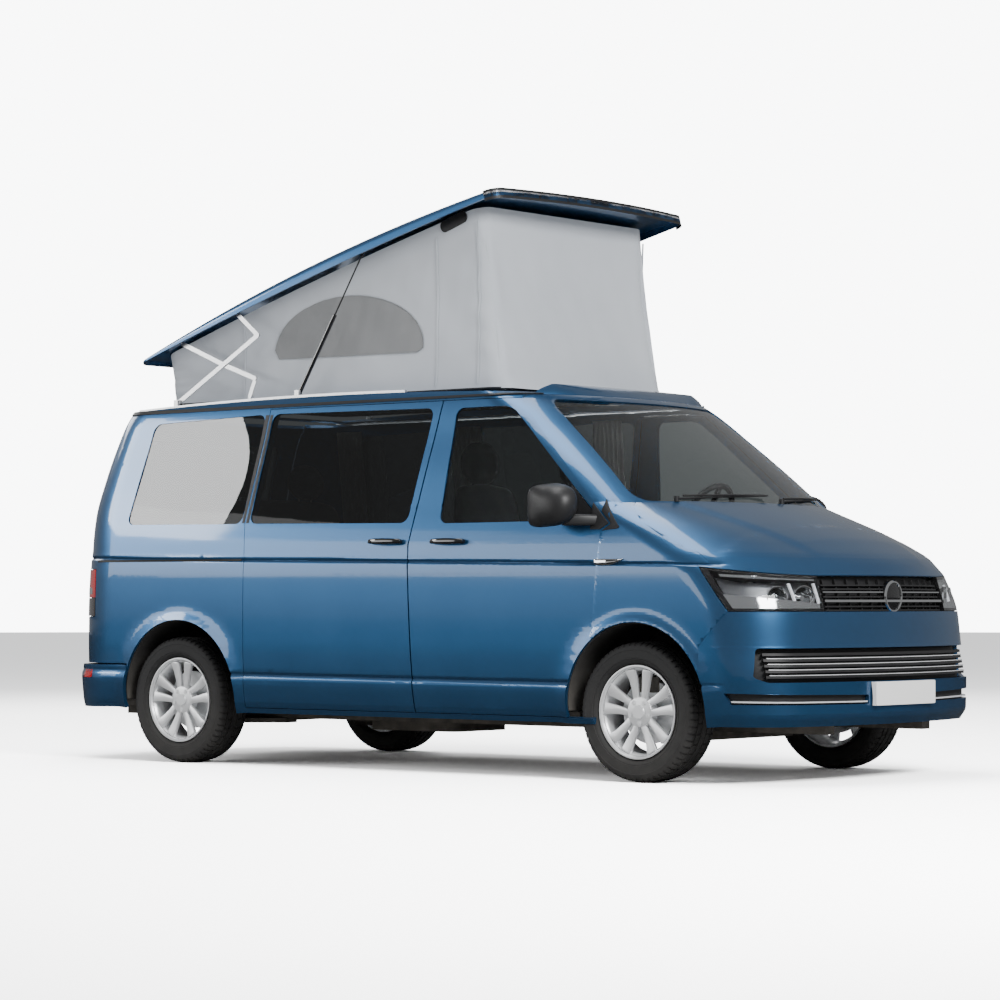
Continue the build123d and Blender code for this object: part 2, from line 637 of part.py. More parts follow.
def make_interior():
    """Dashboard, steering wheel, seats, bench and galley."""
    profile = ((1424, 900), (1424, 1262), (1330, 1300), (1180, 1262), (1120, 1180), (1180, 1000), (1260, 900))
    dash = side_prism(profile, -DASH_HALF, DASH_HALF, 25)
    wheel = Torus(185, 15)
    hub = Cylinder(52, 40)
    spokes = Box(360, 30, 14) + Pos(0, -90, 0) * Box(30, 180, 14)
    column = Pos(0, 0, -110) * Cylinder(28, 190)
    wheel = wheel + hub + spokes + column
    place = Location(STEERING_CENTRE, (0, STEERING_TILT, 0))
    save("steering_wheel", place * (Rot(0, 0, 90) * wheel))
    sleeve = place * (Pos(0, 0, -150) * Cylinder(34, 300))
    save("dashboard", dash - sleeve)

    save("front_seats", seat(-400.0, 520.0), seat(400.0, 520.0))

    bench_low = side_prism(((-1500, 323), (-980, 323), (-940, 660), (-1500, 660)), -455, 440)
    cushion = side_prism(((-1500, 660), (-930, 660), (-920, 780), (-1480, 760)), -460, 450, 20)
    back = side_prism(((-1560, 760), (-1440, 760), (-1510, 1400), (-1610, 1400)), -460, 450, 20)
    bench = bench_low + cushion + back
    for y in (-240.0, 230.0):
        rest = side_prism(((-1640, 1420), (-1550, 1420), (-1560, 1590), (-1630, 1590)), y - 130, y + 130, 30)
        bench = bench + rest + span_box(-1600, -1580, y - 10, y + 10, 1380, 1500)
    save("rear_bench", bench)

    galley = span_box(-900, 120, 470, 820, 323, 1160)
    galley = fillet(galley.edges().filter_by(Axis.Z), 30)
    galley = galley & span_box(-900, 120, 470, GALLEY_REACH, 323, 1160)
    save("galley_unit", galley)


# ---------------------------------------------------------------- pop-up roof
def raised(shape):
    """Turn a closed roof piece up to its raised place."""
    return Pos(ROOF_PIVOT[0], 0, ROOF_PIVOT[1]) * (
        Rot(0, -ROOF_ANGLE, 0) * (Pos(-ROOF_PIVOT[0], 0, -ROOF_PIVOT[1]) * shape))


def roof_form(inset, open_below):
    """Closed roof's solid form, moved inwards by inset."""
    low = open_below
    bottom = ThreePointArc((-1831 + inset, 0, 1895 - low), (-400, 0, 1923 - low), (740 - inset, 0, 1896 - low))
    front = Line((740 - inset, 0, 1896 - low), (780 - inset, 0, 1942 - inset))
    top = ThreePointArc((780 - inset, 0, 1942 - inset), (-480, 0, 2002 - inset), (-1852 + inset, 0, 1922 - inset))
    back = Line((-1852 + inset, 0, 1922 - inset), (-1831 + inset, 0, 1895 - low))
    solid = extrude(make_face(Wire([bottom, front, top, back])), amount=ROOF_HALF, dir=(0, 1, 0), both=True)
    half_y = ROOF_HALF - inset
    nose = ThreePointArc((735 - inset, -half_y, 0), (782 - inset, 0, 0), (735 - inset, half_y, 0))
    rest = Polyline((735 - inset, half_y, 0), (-1860 + inset, half_y, 0), (-1860 + inset, -half_y, 0),
                    (735 - inset, -half_y, 0))
    plan = fillet(make_face(Wire([nose, *rest.edges()])).vertices(), 70.0)
    plan = Pos(0, 0, 1800) * extrude(plan, amount=300)
    arch = ThreePointArc((0, -half_y - 60, 1950 - inset), (0, 0, 2003 - inset), (0, half_y + 60, 1950 - inset))
    box = Polyline((0, half_y + 60, 1950 - inset), (0, half_y + 60, 1700), (0, -half_y - 60, 1700),
                   (0, -half_y - 60, 1950 - inset))
    section = extrude(make_face(Wire([arch, *box.edges()])), amount=3000, dir=(1, 0, 0), both=True)
    return solid & plan & section


def bar(points, outer_y, holes):
    """Flat bar along two or three points with round ends; it lies between outer_y and outer_y less its thickness."""
    solid = None
    low = outer_y - BAR_THICKNESS
    for start, end in zip(points[:-1], points[1:]):
        dx = end[0] - start[0]
        dz = end[1] - start[1]
        length = math.hypot(dx, dz)
        strip = Box(length, BAR_THICKNESS, 2 * BAR_HALF)
        angle = math.degrees(math.atan2(dz, dx))
        centre = ((start[0] + end[0]) / 2.0, outer_y - BAR_THICKNESS / 2.0, (start[1] + end[1]) / 2.0)
        strip = Location(centre, (0, -angle, 0)) * strip
        solid = strip if solid is None else solid + strip
    for x, z in points:
        solid = solid + cylinder_y(x, z, BAR_HALF, low, outer_y)
    for x, z in holes:
        solid = solid - cylinder_y(x, z, PIN_RADIUS + PIN_CLEARANCE, low - 1, outer_y + 1)
    return solid


def make_roof():
    """Raised roof shell, canvas, scissor linkage and gas struts."""
    plane_a = PLANE_LINK_UPPER - PLANE_STEP
    plane_b = plane_a - PLANE_STEP
    plane_d = plane_b - PLANE_STEP
    pocket = span_box(*LINK_POCKET_X, *LINK_POCKET_Y, 1900, LINK_POCKET_TOP)
    shell = roof_form(0.0, 0.0) - roof_form(ROOF_WALL, 80.0) - pocket - mirrored(pocket)
    shell = raised(shell)

    def roof_bracket(point, y_low, y_high, pin_low, pin_high):
        plate = span_box(point[0] - 16, point[0] + 16, y_low, y_high, point[1] - 14, point[1] + 110)
        inner = raised(roof_form(ROOF_WALL - 4.0, 80.0))
        plate = plate & inner
        pin = cylinder_y(point[0], point[1], PIN_RADIUS, pin_low, pin_high)
        return plate + pin

    brackets = (
        roof_bracket(BAR_B_HEAD, plane_b - 13, plane_b - 6, plane_b - 10, plane_b),
        roof_bracket(LINK_HEAD, PLANE_LINK_UPPER + 1, PLANE_LINK_UPPER + 8, PLANE_LINK_UPPER - 5,
                     PLANE_LINK_UPPER + 4),
        roof_bracket(STRUT_HEAD, 772, 779, 771, 779),
    )
    for bracket in brackets:
        shell = shell + bracket + mirrored(bracket)
    save("roof_shell", shell)

    bar_a = bar((BAR_A_FOOT, CROSSING, ELBOW_A), plane_a, (BAR_A_FOOT,))
    bar_b = bar((BAR_B_HEAD, CROSSING, ELBOW_B), plane_b, (BAR_B_HEAD,))
    link_c = bar((ELBOW_A, LINK_HEAD), PLANE_LINK_UPPER, (LINK_HEAD,))
    link_d = bar((ELBOW_B, LINK_FOOT), plane_d, (LINK_FOOT,))
    save("scissor_bar_lower", bar_a, mirrored(bar_a))
    save("scissor_bar_upper", bar_b, mirrored(bar_b))
    save("scissor_link_upper", link_c, mirrored(link_c))
    save("scissor_link_lower", link_d, mirrored(link_d))

    dx = STRUT_HEAD[0] - STRUT_FOOT[0]
    dz = STRUT_HEAD[1] - STRUT_FOOT[1]
    length = math.hypot(dx, dz)
    ux, uz = dx / length, dz / length

    def along(distance):
        return (STRUT_FOOT[0] + ux * distance, 760.0, STRUT_FOOT[1] + uz * distance)

    tube = rod_between(along(10), along(STRUT_CYLINDER), 11.0)
    tube = tube - rod_between(along(40), along(STRUT_CYLINDER + 5), 4.06)
    eye = cylinder_y(STRUT_FOOT[0], STRUT_FOOT[1], 12, 755, 765)
    cylinder_left = tube + eye
    cylinder_left = cylinder_left - cylinder_y(*STRUT_FOOT, PIN_RADIUS + PIN_CLEARANCE, 740, 780)
    rod = rod_between(along(STRUT_CYLINDER - 120), along(length), 4.0)
    rod = rod + cylinder_y(STRUT_HEAD[0], STRUT_HEAD[1], 10, 755, 765)
    save("strut_cylinders", cylinder_left, mirrored(cylinder_left))
    save("strut_rods", rod, mirrored(rod))

    high = ThreePointArc((RAIL_X[0], 0, crown(RAIL_X[0]) + 13), (-925, 0, crown(-925) + 13),
                         (RAIL_X[1], 0, crown(RAIL_X[1]) + 13))
    low = ThreePointArc((RAIL_X[1], 0, crown(RAIL_X[1]) + 0.3), (-925, 0, crown(-925) + 0.3),
                        (RAIL_X[0], 0, crown(RAIL_X[0]) + 0.3))
    ends = [Line((RAIL_X[1], 0, crown(RAIL_X[1]) + 13), (RAIL_X[1], 0, crown(RAIL_X[1]) + 0.3)),
            Line((RAIL_X[0], 0, crown(RAIL_X[0]) + 0.3), (RAIL_X[0], 0, crown(RAIL_X[0]) + 13))]
    face = make_face(Wire([high, ends[0], low, ends[1]]))
    rail = Pos(0, RAIL_Y[0], 0) * extrude(face, amount=RAIL_Y[1] - RAIL_Y[0], dir=(0, 1, 0))
    for point, y_low, y_high, pin_low, pin_high in (
        (BAR_A_FOOT, plane_a + 1, plane_a + 8, plane_a - 5, plane_a + 4),
        (STRUT_FOOT, 771, 779, 756, 775),
    ):
        seat_z = max(crown(point[0] - 14), crown(point[0] + 14)) + 0.3
        plate = span_box(point[0] - 14, point[0] + 14, y_low, RAIL_Y[0] + 4, seat_z, point[1] + 12)
        plate = plate - span_box(point[0] - 20, point[0] + 20, y_high, RAIL_Y[0], point[1] - 12, point[1] + 20)
        pin = cylinder_y(point[0], point[1], PIN_RADIUS, pin_low, pin_high)
        rail = rail + plate + pin
    foot = span_box(LINK_FOOT[0] - 14, LINK_FOOT[0] + 14, plane_d - 13, plane_d - 6, crown(LINK_FOOT[0] + 14) + 0.3,
                    LINK_FOOT[1] + 12)
    foot = foot + cylinder_y(LINK_FOOT[0], LINK_FOOT[1], PIN_RADIUS, plane_d - 10, plane_d)
    rails = (rail, mirrored(rail), foot, mirrored(foot))
    save("roof_rails", *rails)

    outline = fillet(Rectangle(CANVAS_X[1] - CANVAS_X[0], 2 * CANVAS_HALF).vertices(), CANVAS_CORNER)
    inner = offset(outline, amount=-CANVAS_THICKNESS)
    wall = extrude(outline - inner, amount=1200)
    wall = Pos((CANVAS_X[0] + CANVAS_X[1]) / 2.0, 0, 1700) * wall
    below = raised(span_box(-2600, 1600, -FAR, FAR, 0, 1931))
    ceiling = raised(roof_form(0.0, 0.0) - roof_form(ROOF_WALL + 1.0, 80.0))
    canvas = (wall & below) - ceiling - body_block(-0.3, -0.3)
    save("canvas", canvas)


def crown(x):
    """Height of the fixed roof's long crown at one place."""
    fall = ROOF_CROWN_PEAK - ROOF_CROWN_END
    radius = (ROOF_CROWN_REACH ** 2 + fall ** 2) / (2.0 * fall)
    return ROOF_CROWN_PEAK - radius + math.sqrt(radius ** 2 - (x - ROOF_CROWN_X) ** 2)


def main():
    """Write every node."""
    make_body()
    make_front_end()
    make_underbody()
    make_wheels()
    make_mirrors()
    make_interior()
    make_roof()


main()
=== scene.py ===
"""Camper van with a raised pop-up roof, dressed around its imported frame."""
import logging
import math
from dataclasses import dataclass, field
from enum import Enum
from functools import lru_cache
from typing import Callable, Iterable, Sequence

import bmesh
import bpy
import numpy as np
from bmesh import ops
from bmesh.types import BMEdge, BMesh, BMFace, BMVert
from bpy.types import Material, Node, NodeSocket, NodeTree, Object
from mathutils import Matrix, Vector


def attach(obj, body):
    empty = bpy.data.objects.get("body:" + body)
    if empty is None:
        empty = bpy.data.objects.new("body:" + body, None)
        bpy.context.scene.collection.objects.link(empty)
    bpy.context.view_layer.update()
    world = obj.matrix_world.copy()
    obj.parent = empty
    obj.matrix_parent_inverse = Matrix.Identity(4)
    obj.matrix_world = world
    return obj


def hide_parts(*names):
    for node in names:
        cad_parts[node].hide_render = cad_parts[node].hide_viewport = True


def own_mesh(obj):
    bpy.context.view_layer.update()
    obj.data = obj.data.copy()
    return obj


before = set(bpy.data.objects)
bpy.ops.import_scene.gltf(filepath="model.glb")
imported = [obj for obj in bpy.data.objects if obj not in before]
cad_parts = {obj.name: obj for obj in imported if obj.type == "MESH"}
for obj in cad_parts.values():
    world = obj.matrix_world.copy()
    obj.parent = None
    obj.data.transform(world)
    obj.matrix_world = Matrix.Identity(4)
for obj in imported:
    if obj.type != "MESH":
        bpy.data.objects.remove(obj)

log = logging.getLogger("camper")
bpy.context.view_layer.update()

Pair = tuple[float, float]
Triple = tuple[float, float, float]
Corner = tuple[str, float, float]


# ------------------------------------------------------------------ shared shader effects
def new_group(name: str, inputs: dict[str, float], outputs: dict[str, str]) -> NodeTree:
    """Start a shader node group with named sockets.

    Args:
        name: Name of the group.
        inputs: Float inputs with their usual values.
        outputs: Outputs with their socket types.

    Returns:
        The group, with its input and output nodes in place.
    """
    tree = bpy.data.node_groups.new(name, "ShaderNodeTree")
    tree.interface.new_socket("Vector", in_out="INPUT", socket_type="NodeSocketVector")
    for label, value in inputs.items():
        socket = tree.interface.new_socket(label, in_out="INPUT", socket_type="NodeSocketFloat")
        socket.default_value = value
    for label, kind in outputs.items():
        tree.interface.new_socket(label, in_out="OUTPUT", socket_type=kind)
    tree.nodes.new("NodeGroupInput").name = "in"
    tree.nodes.new("NodeGroupOutput").name = "out"
    return tree


def feed(tree: NodeTree, place: NodeSocket, value: object) -> None:
    """Join a socket to an input, or set the input to a constant."""
    if isinstance(value, NodeSocket):
        tree.links.new(value, place)
    else:
        place.default_value = value


def add_node(tree: NodeTree, kind: str, group: NodeTree | None = None, **values: object) -> Node:
    """Add a shader node and feed its inputs.

    Args:
        tree: Node tree that gets the node.
        kind: Node type, without its usual start.
        group: Node group that the node shows, where it is a group.
        values: Socket or constant for each input, with _ for a space in the input's name.

    Returns:
        The new node.
    """
    node = tree.nodes.new(f"ShaderNode{kind}")
    if group:
        node.node_tree = group
    for label, value in values.items():
        feed(tree, node.inputs[label.replace("_", " ")], value)
    return node


def blend(tree: NodeTree, factor: NodeSocket, first: object, second: object) -> NodeSocket:
    """Blend two colours, each a socket or a constant."""
    node = tree.nodes.new("ShaderNodeMix")
    node.data_type = "RGBA"
    for label, value in (("A", first), ("B", second), ("Factor", factor)):
        feed(tree, node.inputs[label], value)
    return node.outputs["Result"]


def math_node(tree: NodeTree, operation: str, *values: object) -> NodeSocket:
    """Add a Math node whose inputs are sockets or numbers, and return its output."""
    node = tree.nodes.new("ShaderNodeMath")
    node.operation = operation
    for place, value in zip(node.inputs, values):
        feed(tree, place, value)
    return node.outputs[0]


def build_grain_group() -> NodeTree:
    """Moulded grain: fine noise height and a slow mottling mask."""
    tree = new_group("moulded_grain", {"Scale": 400.0, "Slow scale": 6.0},
                     {"Height": "NodeSocketFloat", "Mottle": "NodeSocketFloat"})
    start, end = tree.nodes["in"].outputs, tree.nodes["out"].inputs
    for detail, scale, label in ((3.0, "Scale", "Height"), (4.0, "Slow scale", "Mottle")):
        noise = add_node(tree, "TexNoise", Detail=detail, Vector=start["Vector"], Scale=start[scale])
        feed(tree, end[label], noise.outputs["Fac"])
    return tree


def build_weave_group() -> NodeTree:
    """Plain weave: two crossed sets of threads."""
    tree = new_group("plain_weave", {"Threads": 900.0}, {"Height": "NodeSocketFloat"})
    start, end = tree.nodes["in"].outputs, tree.nodes["out"].inputs
    split = add_node(tree, "SeparateXYZ", Vector=start["Vector"]).outputs
    along = math_node(tree, "ADD", split[0], split[1])
    waves = [math_node(tree, "SINE", math_node(tree, "MULTIPLY", axis, start["Threads"]))
             for axis in (along, split[2])]
    feed(tree, end["Height"], math_node(tree, "MULTIPLY", *waves))
    return tree


def build_dust_group() -> NodeTree:
    """Road dust that gathers near the ground."""
    tree = new_group("road_dust", {"Top": 0.6, "Amount": 0.3}, {"Mask": "NodeSocketFloat"})
    start, end = tree.nodes["in"].outputs, tree.nodes["out"].inputs
    split = add_node(tree, "SeparateXYZ", Vector=start["Vector"]).outputs
    share = math_node(tree, "DIVIDE", split[2], start["Top"])
    low = math_node(tree, "MAXIMUM", math_node(tree, "SUBTRACT", 1.0, share), 0.0)
    noise = add_node(tree, "TexNoise", Scale=14.0, Detail=5.0, Vector=start["Vector"])
    spotted = math_node(tree, "MULTIPLY", low, noise.outputs["Fac"])
    feed(tree, end["Mask"], math_node(tree, "MULTIPLY", spotted, start["Amount"]))
    return tree


class Effects:
    """The shared node groups, each built once."""

    def __init__(self) -> None:
        """Build every group."""
        self.grain = build_grain_group()
        self.weave = build_weave_group()
        self.dust = build_dust_group()


EFFECTS = Effects()
DUST_COLOUR = (0.22, 0.2, 0.17, 1.0)


# ------------------------------------------------------------------ finishes
class Pattern(Enum):
    """What varies a finish over its surface."""

    GRAIN = "grain"
    FLAKE = "flake"
    WEAVE = "weave"
    BRUSHED = "brushed"


@dataclass(frozen=True)
class Finish:
    """One procedural finish."""

    name: str
    colour: Triple
    second: Triple
    roughness: float = 0.5
    metallic: float = 0.0
    pattern: Pattern = Pattern.GRAIN
    scale: float = 400.0
    slow_scale: float = 6.0
    bump: float = 0.1
    bump_depth: float = 0.0005
    coat: float = 0.0
    coat_roughness: float = 0.03
    sheen: float = 0.0
    transmission: float = 0.0
    ior: float = 1.45
    dust: float = 0.0
    rough_spread: float = 0.08
    emission: float = 0.0
    flake_share: float = 0.35
    dust_roughness: float = 0.4

    def material(self) -> Material:
        """Return this finish's material, built on first use."""
        found = bpy.data.materials.get(self.name)
        return found if found else self._build()

    def _build(self) -> Material:
        """Build the node tree."""
        material = bpy.data.materials.new(self.name)
        material.use_nodes = True
        tree = material.node_tree
        shader = tree.nodes["Principled BSDF"].inputs
        place = add_node(tree, "TexCoord").outputs["Object"]
        for label, value in (("Coat Weight", self.coat), ("Coat Roughness", self.coat_roughness),
                             ("Sheen Weight", self.sheen), ("IOR", self.ior),
                             ("Transmission Weight", self.transmission), ("Metallic", self.metallic)):
            shader[label].default_value = value
        along = place
        if self.pattern is Pattern.BRUSHED:
            along = add_node(tree, "Mapping", Scale=(0.06, 1.0, 1.0), Vector=place).outputs["Vector"]
        grain = add_node(tree, "Group", EFFECTS.grain, Scale=self.scale, Slow_scale=self.slow_scale,
                         Vector=along).outputs
        height, tint = grain["Height"], grain["Mottle"]
        if self.pattern is Pattern.WEAVE:
            height = add_node(tree, "Group", EFFECTS.weave, Threads=self.scale, Vector=place).outputs["Height"]
        if self.pattern is Pattern.FLAKE:
            flake = add_node(tree, "TexVoronoi", Scale=self.scale, Vector=place)
            tint = math_node(tree, "MULTIPLY_ADD", flake.outputs["Distance"], self.flake_share, tint)
        colour = blend(tree, tint, (*self.colour, 1.0), (*self.second, 1.0))
        rough = math_node(tree, "MULTIPLY_ADD", grain["Mottle"], self.rough_spread,
                          max(self.roughness - self.rough_spread / 2.0, 0.0))
        if self.dust:
            mask = add_node(tree, "Group", EFFECTS.dust, Amount=self.dust, Vector=place).outputs["Mask"]
            colour = blend(tree, mask, colour, DUST_COLOUR)
            rough = math_node(tree, "MULTIPLY_ADD", mask, self.dust_roughness, rough)
        feed(tree, shader["Base Color"], colour)
        feed(tree, shader["Roughness"], rough)
        if self.emission:
            feed(tree, shader["Emission Color"], colour)
            feed(tree, shader["Emission Strength"], self.emission)
        if self.bump:
            bump = add_node(tree, "Bump", Strength=self.bump, Distance=self.bump_depth, Height=height)
            feed(tree, shader["Normal"], bump.outputs["Normal"])
        return material


PAINT = Finish("blue_paint", (0.022, 0.092, 0.215), (0.03, 0.112, 0.25), 0.34, 0.8, Pattern.FLAKE, 2600.0, 3.0,
               0.0, coat=1.0, coat_roughness=0.06, dust=0.05, rough_spread=0.05)
LINING = Finish("cabin_lining", (0.2, 0.2, 0.2), (0.26, 0.26, 0.255), 0.8, bump=0.25)
JAMB = Finish("seal_rubber", (0.008, 0.008, 0.009), (0.014, 0.014, 0.014), 0.55, bump=0.2)
BLACK_TRIM = Finish("black_trim", (0.012, 0.012, 0.013), (0.02, 0.02, 0.021), 0.45, bump=0.3, scale=900.0)
GLOSS_BLACK = Finish("gloss_black", (0.006, 0.006, 0.007), (0.01, 0.01, 0.01), 0.12, bump=0.0, coat=1.0)
CHROME = Finish("bright_chrome", (0.78, 0.79, 0.8), (0.86, 0.87, 0.88), 0.08, 1.0, bump=0.0, rough_spread=0.05)
SATIN = Finish("satin_strip", (0.74, 0.75, 0.77), (0.8, 0.81, 0.83), 0.35, 0.3, bump=0.0)
GLASS = Finish("tinted_glass", (0.34, 0.38, 0.38), (0.36, 0.4, 0.4), 0.0, bump=0.0, transmission=1.0,
               ior=1.45, rough_spread=0.0)
PRIVACY_GLASS = Finish("privacy_glass", (0.15, 0.165, 0.17), (0.16, 0.175, 0.18), 0.0, bump=0.0, transmission=1.0,
                       ior=1.5, rough_spread=0.0)
CLEAR_GLASS = Finish("clear_glass", (0.88, 0.92, 0.92), (0.9, 0.93, 0.93), 0.0, bump=0.0, transmission=1.0,
                     rough_spread=0.0)
LENS = Finish("lamp_lens", (0.95, 0.96, 0.97), (0.97, 0.98, 0.99), 0.0, bump=0.0, transmission=1.0,
              ior=1.3, rough_spread=0.0)
# Red lens with a faint emission: lamp glow on the tail lamps, and a painted glow on the bumper reflector, which is no
# lamp.
RED_LENS = Finish("red_lens", (0.42, 0.008, 0.01), (0.5, 0.012, 0.012), 0.12, bump=0.15, scale=220.0,
                  coat=1.0, emission=0.05)
REFLECTOR = Finish("lamp_reflector", (0.3, 0.31, 0.33), (0.38, 0.39, 0.41), 0.28, 0.8, bump=0.05)
SMOKED_LENS = Finish("smoked_lens", (0.012, 0.006, 0.007), (0.018, 0.008, 0.009), 0.1, bump=0.0, coat=1.0)
DAY_LIGHT = Finish("day_light", (0.9, 0.93, 1.0), (0.95, 0.97, 1.0), 0.2, bump=0.0, emission=0.5)
ALLOY = Finish("cast_alloy", (0.86, 0.87, 0.88), (0.9, 0.91, 0.92), 0.34, 0.6, bump=0.12, scale=1500.0, dust=0.03)
BRUSHED_ALLOY = Finish("anodised_bar", (0.6, 0.61, 0.62), (0.7, 0.71, 0.72), 0.32, 0.9, Pattern.BRUSHED, 1200.0)
DARK_METAL = Finish("dark_metal", (0.03, 0.03, 0.032), (0.05, 0.05, 0.052), 0.4, 0.7, bump=0.2)
CAST_IRON = Finish("cast_iron", (0.09, 0.085, 0.08), (0.14, 0.13, 0.12), 0.6, 0.6, bump=0.5, scale=260.0, dust=0.6)
RUBBER = Finish("tyre_rubber", (0.014, 0.014, 0.015), (0.024, 0.024, 0.024), 0.72, bump=0.35, scale=700.0, dust=0.15)
CANVAS = Finish("roof_canvas", (0.47, 0.50, 0.54), (0.55, 0.58, 0.62), 0.92, 0.0, Pattern.WEAVE, 2600.0, 3.0, 0.35,
                0.0004, sheen=0.25)
WINDOW_MESH = Finish("window_mesh", (0.22, 0.225, 0.23), (0.28, 0.285, 0.29), 0.9, 0.0, Pattern.WEAVE, 1700.0, 3.0,
                     0.6, 0.0008)
CUSHION_CLOTH = Finish("seat_cloth", (0.035, 0.037, 0.042), (0.055, 0.057, 0.062), 0.9, 0.0, Pattern.WEAVE, 1900.0,
                       8.0, 0.5, 0.0008, sheen=0.4)
CURTAIN = Finish("curtain_cloth", (0.42, 0.42, 0.41), (0.5, 0.5, 0.49), 0.9, 0.0, Pattern.WEAVE, 1800.0, 5.0, 0.3,
                 0.0006, sheen=0.2)
DASH = Finish("dash_plastic", (0.018, 0.018, 0.02), (0.03, 0.03, 0.032), 0.6, bump=0.5, scale=1100.0)
FURNITURE = Finish("cabinet_board", (0.4, 0.4, 0.39), (0.46, 0.455, 0.44), 0.45, bump=0.15, scale=300.0)
PLATE = Finish("bare_plate", (0.86, 0.86, 0.85), (0.9, 0.9, 0.89), 0.35, bump=0.15, scale=900.0, dust=0.1)
UNDERSEAL = Finish("underseal", (0.012, 0.012, 0.012), (0.03, 0.028, 0.026), 0.85, bump=0.8, scale=160.0, dust=0.9)


def finish(obj: Object, *finishes: Finish) -> Object:
    """Give an object its finishes, one for each material index.

    Args:
        obj: Object to dress.
        finishes: Finishes in the order of the mesh's material indices.

    Returns:
        The same object.
    """
    obj.data.materials.clear()
    for one in finishes:
        obj.data.materials.append(one.material())
    return obj


# ------------------------------------------------------------------ mesh helpers
def as_object(name: str, mesh: BMesh, angle: float = 32.0) -> Object:
    """Turn a bmesh into a scene object and free it.

    Args:
        name: Name of the piece.
        mesh: Finished bmesh in the row frame.
        angle: Edges sharper than this many degrees stay sharp.

    Returns:
        The new object.
    """
    data = bpy.data.meshes.new(name)
    mesh.to_mesh(data)
    mesh.free()
    data.shade_smooth()
    data.set_sharp_from_angle(angle=math.radians(angle))
    obj = bpy.data.objects.new(name, data)
    bpy.context.scene.collection.objects.link(obj)
    return obj


def fit(obj: Object, body: str, slot: str, *nodes: str) -> Object:
    """Let a piece ride on a body and stand for its nodes."""
    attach(obj, body)
    if nodes:
        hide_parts(*nodes)
    return obj


def round_edges(mesh: BMesh, edges: Sequence[BMEdge], offset: float, segments: int) -> None:
    """Round some edges of a mesh."""
    ops.bevel(mesh, geom=edges, offset=offset, offset_type="OFFSET", affect="EDGES", segments=segments,
              profile=0.5, material=-1, clamp_overlap=True)


def round_corners(mesh: BMesh, corners: Sequence[BMVert], radius: float, segments: int) -> list[Pair]:
    """Round corners of a mesh that is one flat face, free it and return the face's outline."""
    ops.bevel(mesh, geom=corners, offset=radius, offset_type="OFFSET", affect="VERTICES", segments=segments,
              profile=0.5, material=-1, clamp_overlap=True)
    mesh.faces.ensure_lookup_table()
    loop = [(v.co.x, v.co.y) for v in mesh.faces[0].verts]
    mesh.free()
    return loop


def slice_at(mesh: BMesh, point: Sequence[float], normal: Sequence[float], near: float = 1e-6) -> None:
    """Cut a mesh along a plane and keep both sides."""
    ops.bisect_plane(mesh, geom=mesh.verts[:] + mesh.edges[:] + mesh.faces[:], dist=near, plane_co=point,
                     plane_no=normal)


def closed_loop(mesh: BMesh, points: Iterable[Sequence[float]]) -> tuple[list[BMVert], list[BMEdge]]:
    """Add a closed loop of edges through points."""
    verts = [mesh.verts.new(point) for point in points]
    return verts, [mesh.edges.new(pair) for pair in zip(verts, [*verts[1:], verts[0]])]


def extruded(mesh: BMesh, faces: Sequence[BMFace]) -> list[BMVert]:
    """Extrude faces, keep the first ones as the far side, and return the new vertices."""
    made = ops.extrude_face_region(mesh, geom=faces, use_keep_orig=True)["geom"]
    return [v for v in made if isinstance(v, BMVert)]


def bevel_sharp(mesh: BMesh, offset: float, segments: int = 2, angle: float = 40.0) -> None:
    """Round the edges whose faces meet at more than an angle.

    Args:
        mesh: Mesh to change.
        offset: Width of the rounding.
        segments: Steps of the rounding.
        angle: Smallest angle in degrees.
    """
    limit = math.radians(angle)
    edges = [e for e in mesh.edges if len(e.link_faces) == 2 and e.calc_face_angle(0.0) > limit]
    round_edges(mesh, edges, offset, segments)


def add_box(mesh: BMesh, low: Sequence[float], high: Sequence[float]) -> list[BMVert]:
    """Add a block between two corners and return its vertices."""
    size = [b - a for a, b in zip(low, high)]
    centre = [(a + b) / 2.0 for a, b in zip(low, high)]
    place = Matrix.Translation(centre) @ Matrix.Diagonal((*size, 1.0))
    return ops.create_cube(mesh, size=1.0, matrix=place)["verts"]


def add_rod(mesh: BMesh, start: Vector, end: Vector, radius: float, segments: int = 24,
            radius_end: float | None = None) -> list[BMVert]:
    """Add a closed round rod or taper between two points.

    Args:
        mesh: Mesh that gets the rod.
        start: Centre of the first end.
        end: Centre of the second end.
        radius: Radius at the first end.
        segments: Number of sides.
        radius_end: Radius at the second end, where it differs.

    Returns:
        The new vertices.
    """
    start, end = Vector(start), Vector(end)
    run = end - start
    turn = run.to_track_quat("Z", "Y").to_matrix().to_4x4()
    place = Matrix.Translation((start + end) / 2.0) @ turn
    last = radius if radius_end is None else radius_end
    return ops.create_cone(mesh, cap_ends=True, segments=segments, radius1=radius, radius2=last,
                           depth=run.length, matrix=place)["verts"]


def flat_face(mesh: BMesh, points: Iterable[Sequence[float]]) -> BMFace:
    """Make one face from corner points."""
    return mesh.faces.new([mesh.verts.new(Vector(p)) for p in points])


def prism(mesh: BMesh, points: Sequence[Sequence[float]], run: Sequence[float]) -> BMFace:
    """Extrude a flat outline along a vector into a closed solid.

    Args:
        mesh: Mesh that gets the solid.
        points: Corners of the outline.
        run: Direction and length of the extrusion.

    Returns:
        The first face.
    """
    face = flat_face(mesh, points)
    ops.translate(mesh, verts=extruded(mesh, [face]), vec=Vector(run))
    return face


def outward(mesh: BMesh) -> None:
    """Merge doubles and turn every face outwards."""
    ops.remove_doubles(mesh, verts=mesh.verts[:], dist=1e-6)
    ops.recalc_face_normals(mesh, faces=mesh.faces[:])
    mesh.normal_update()


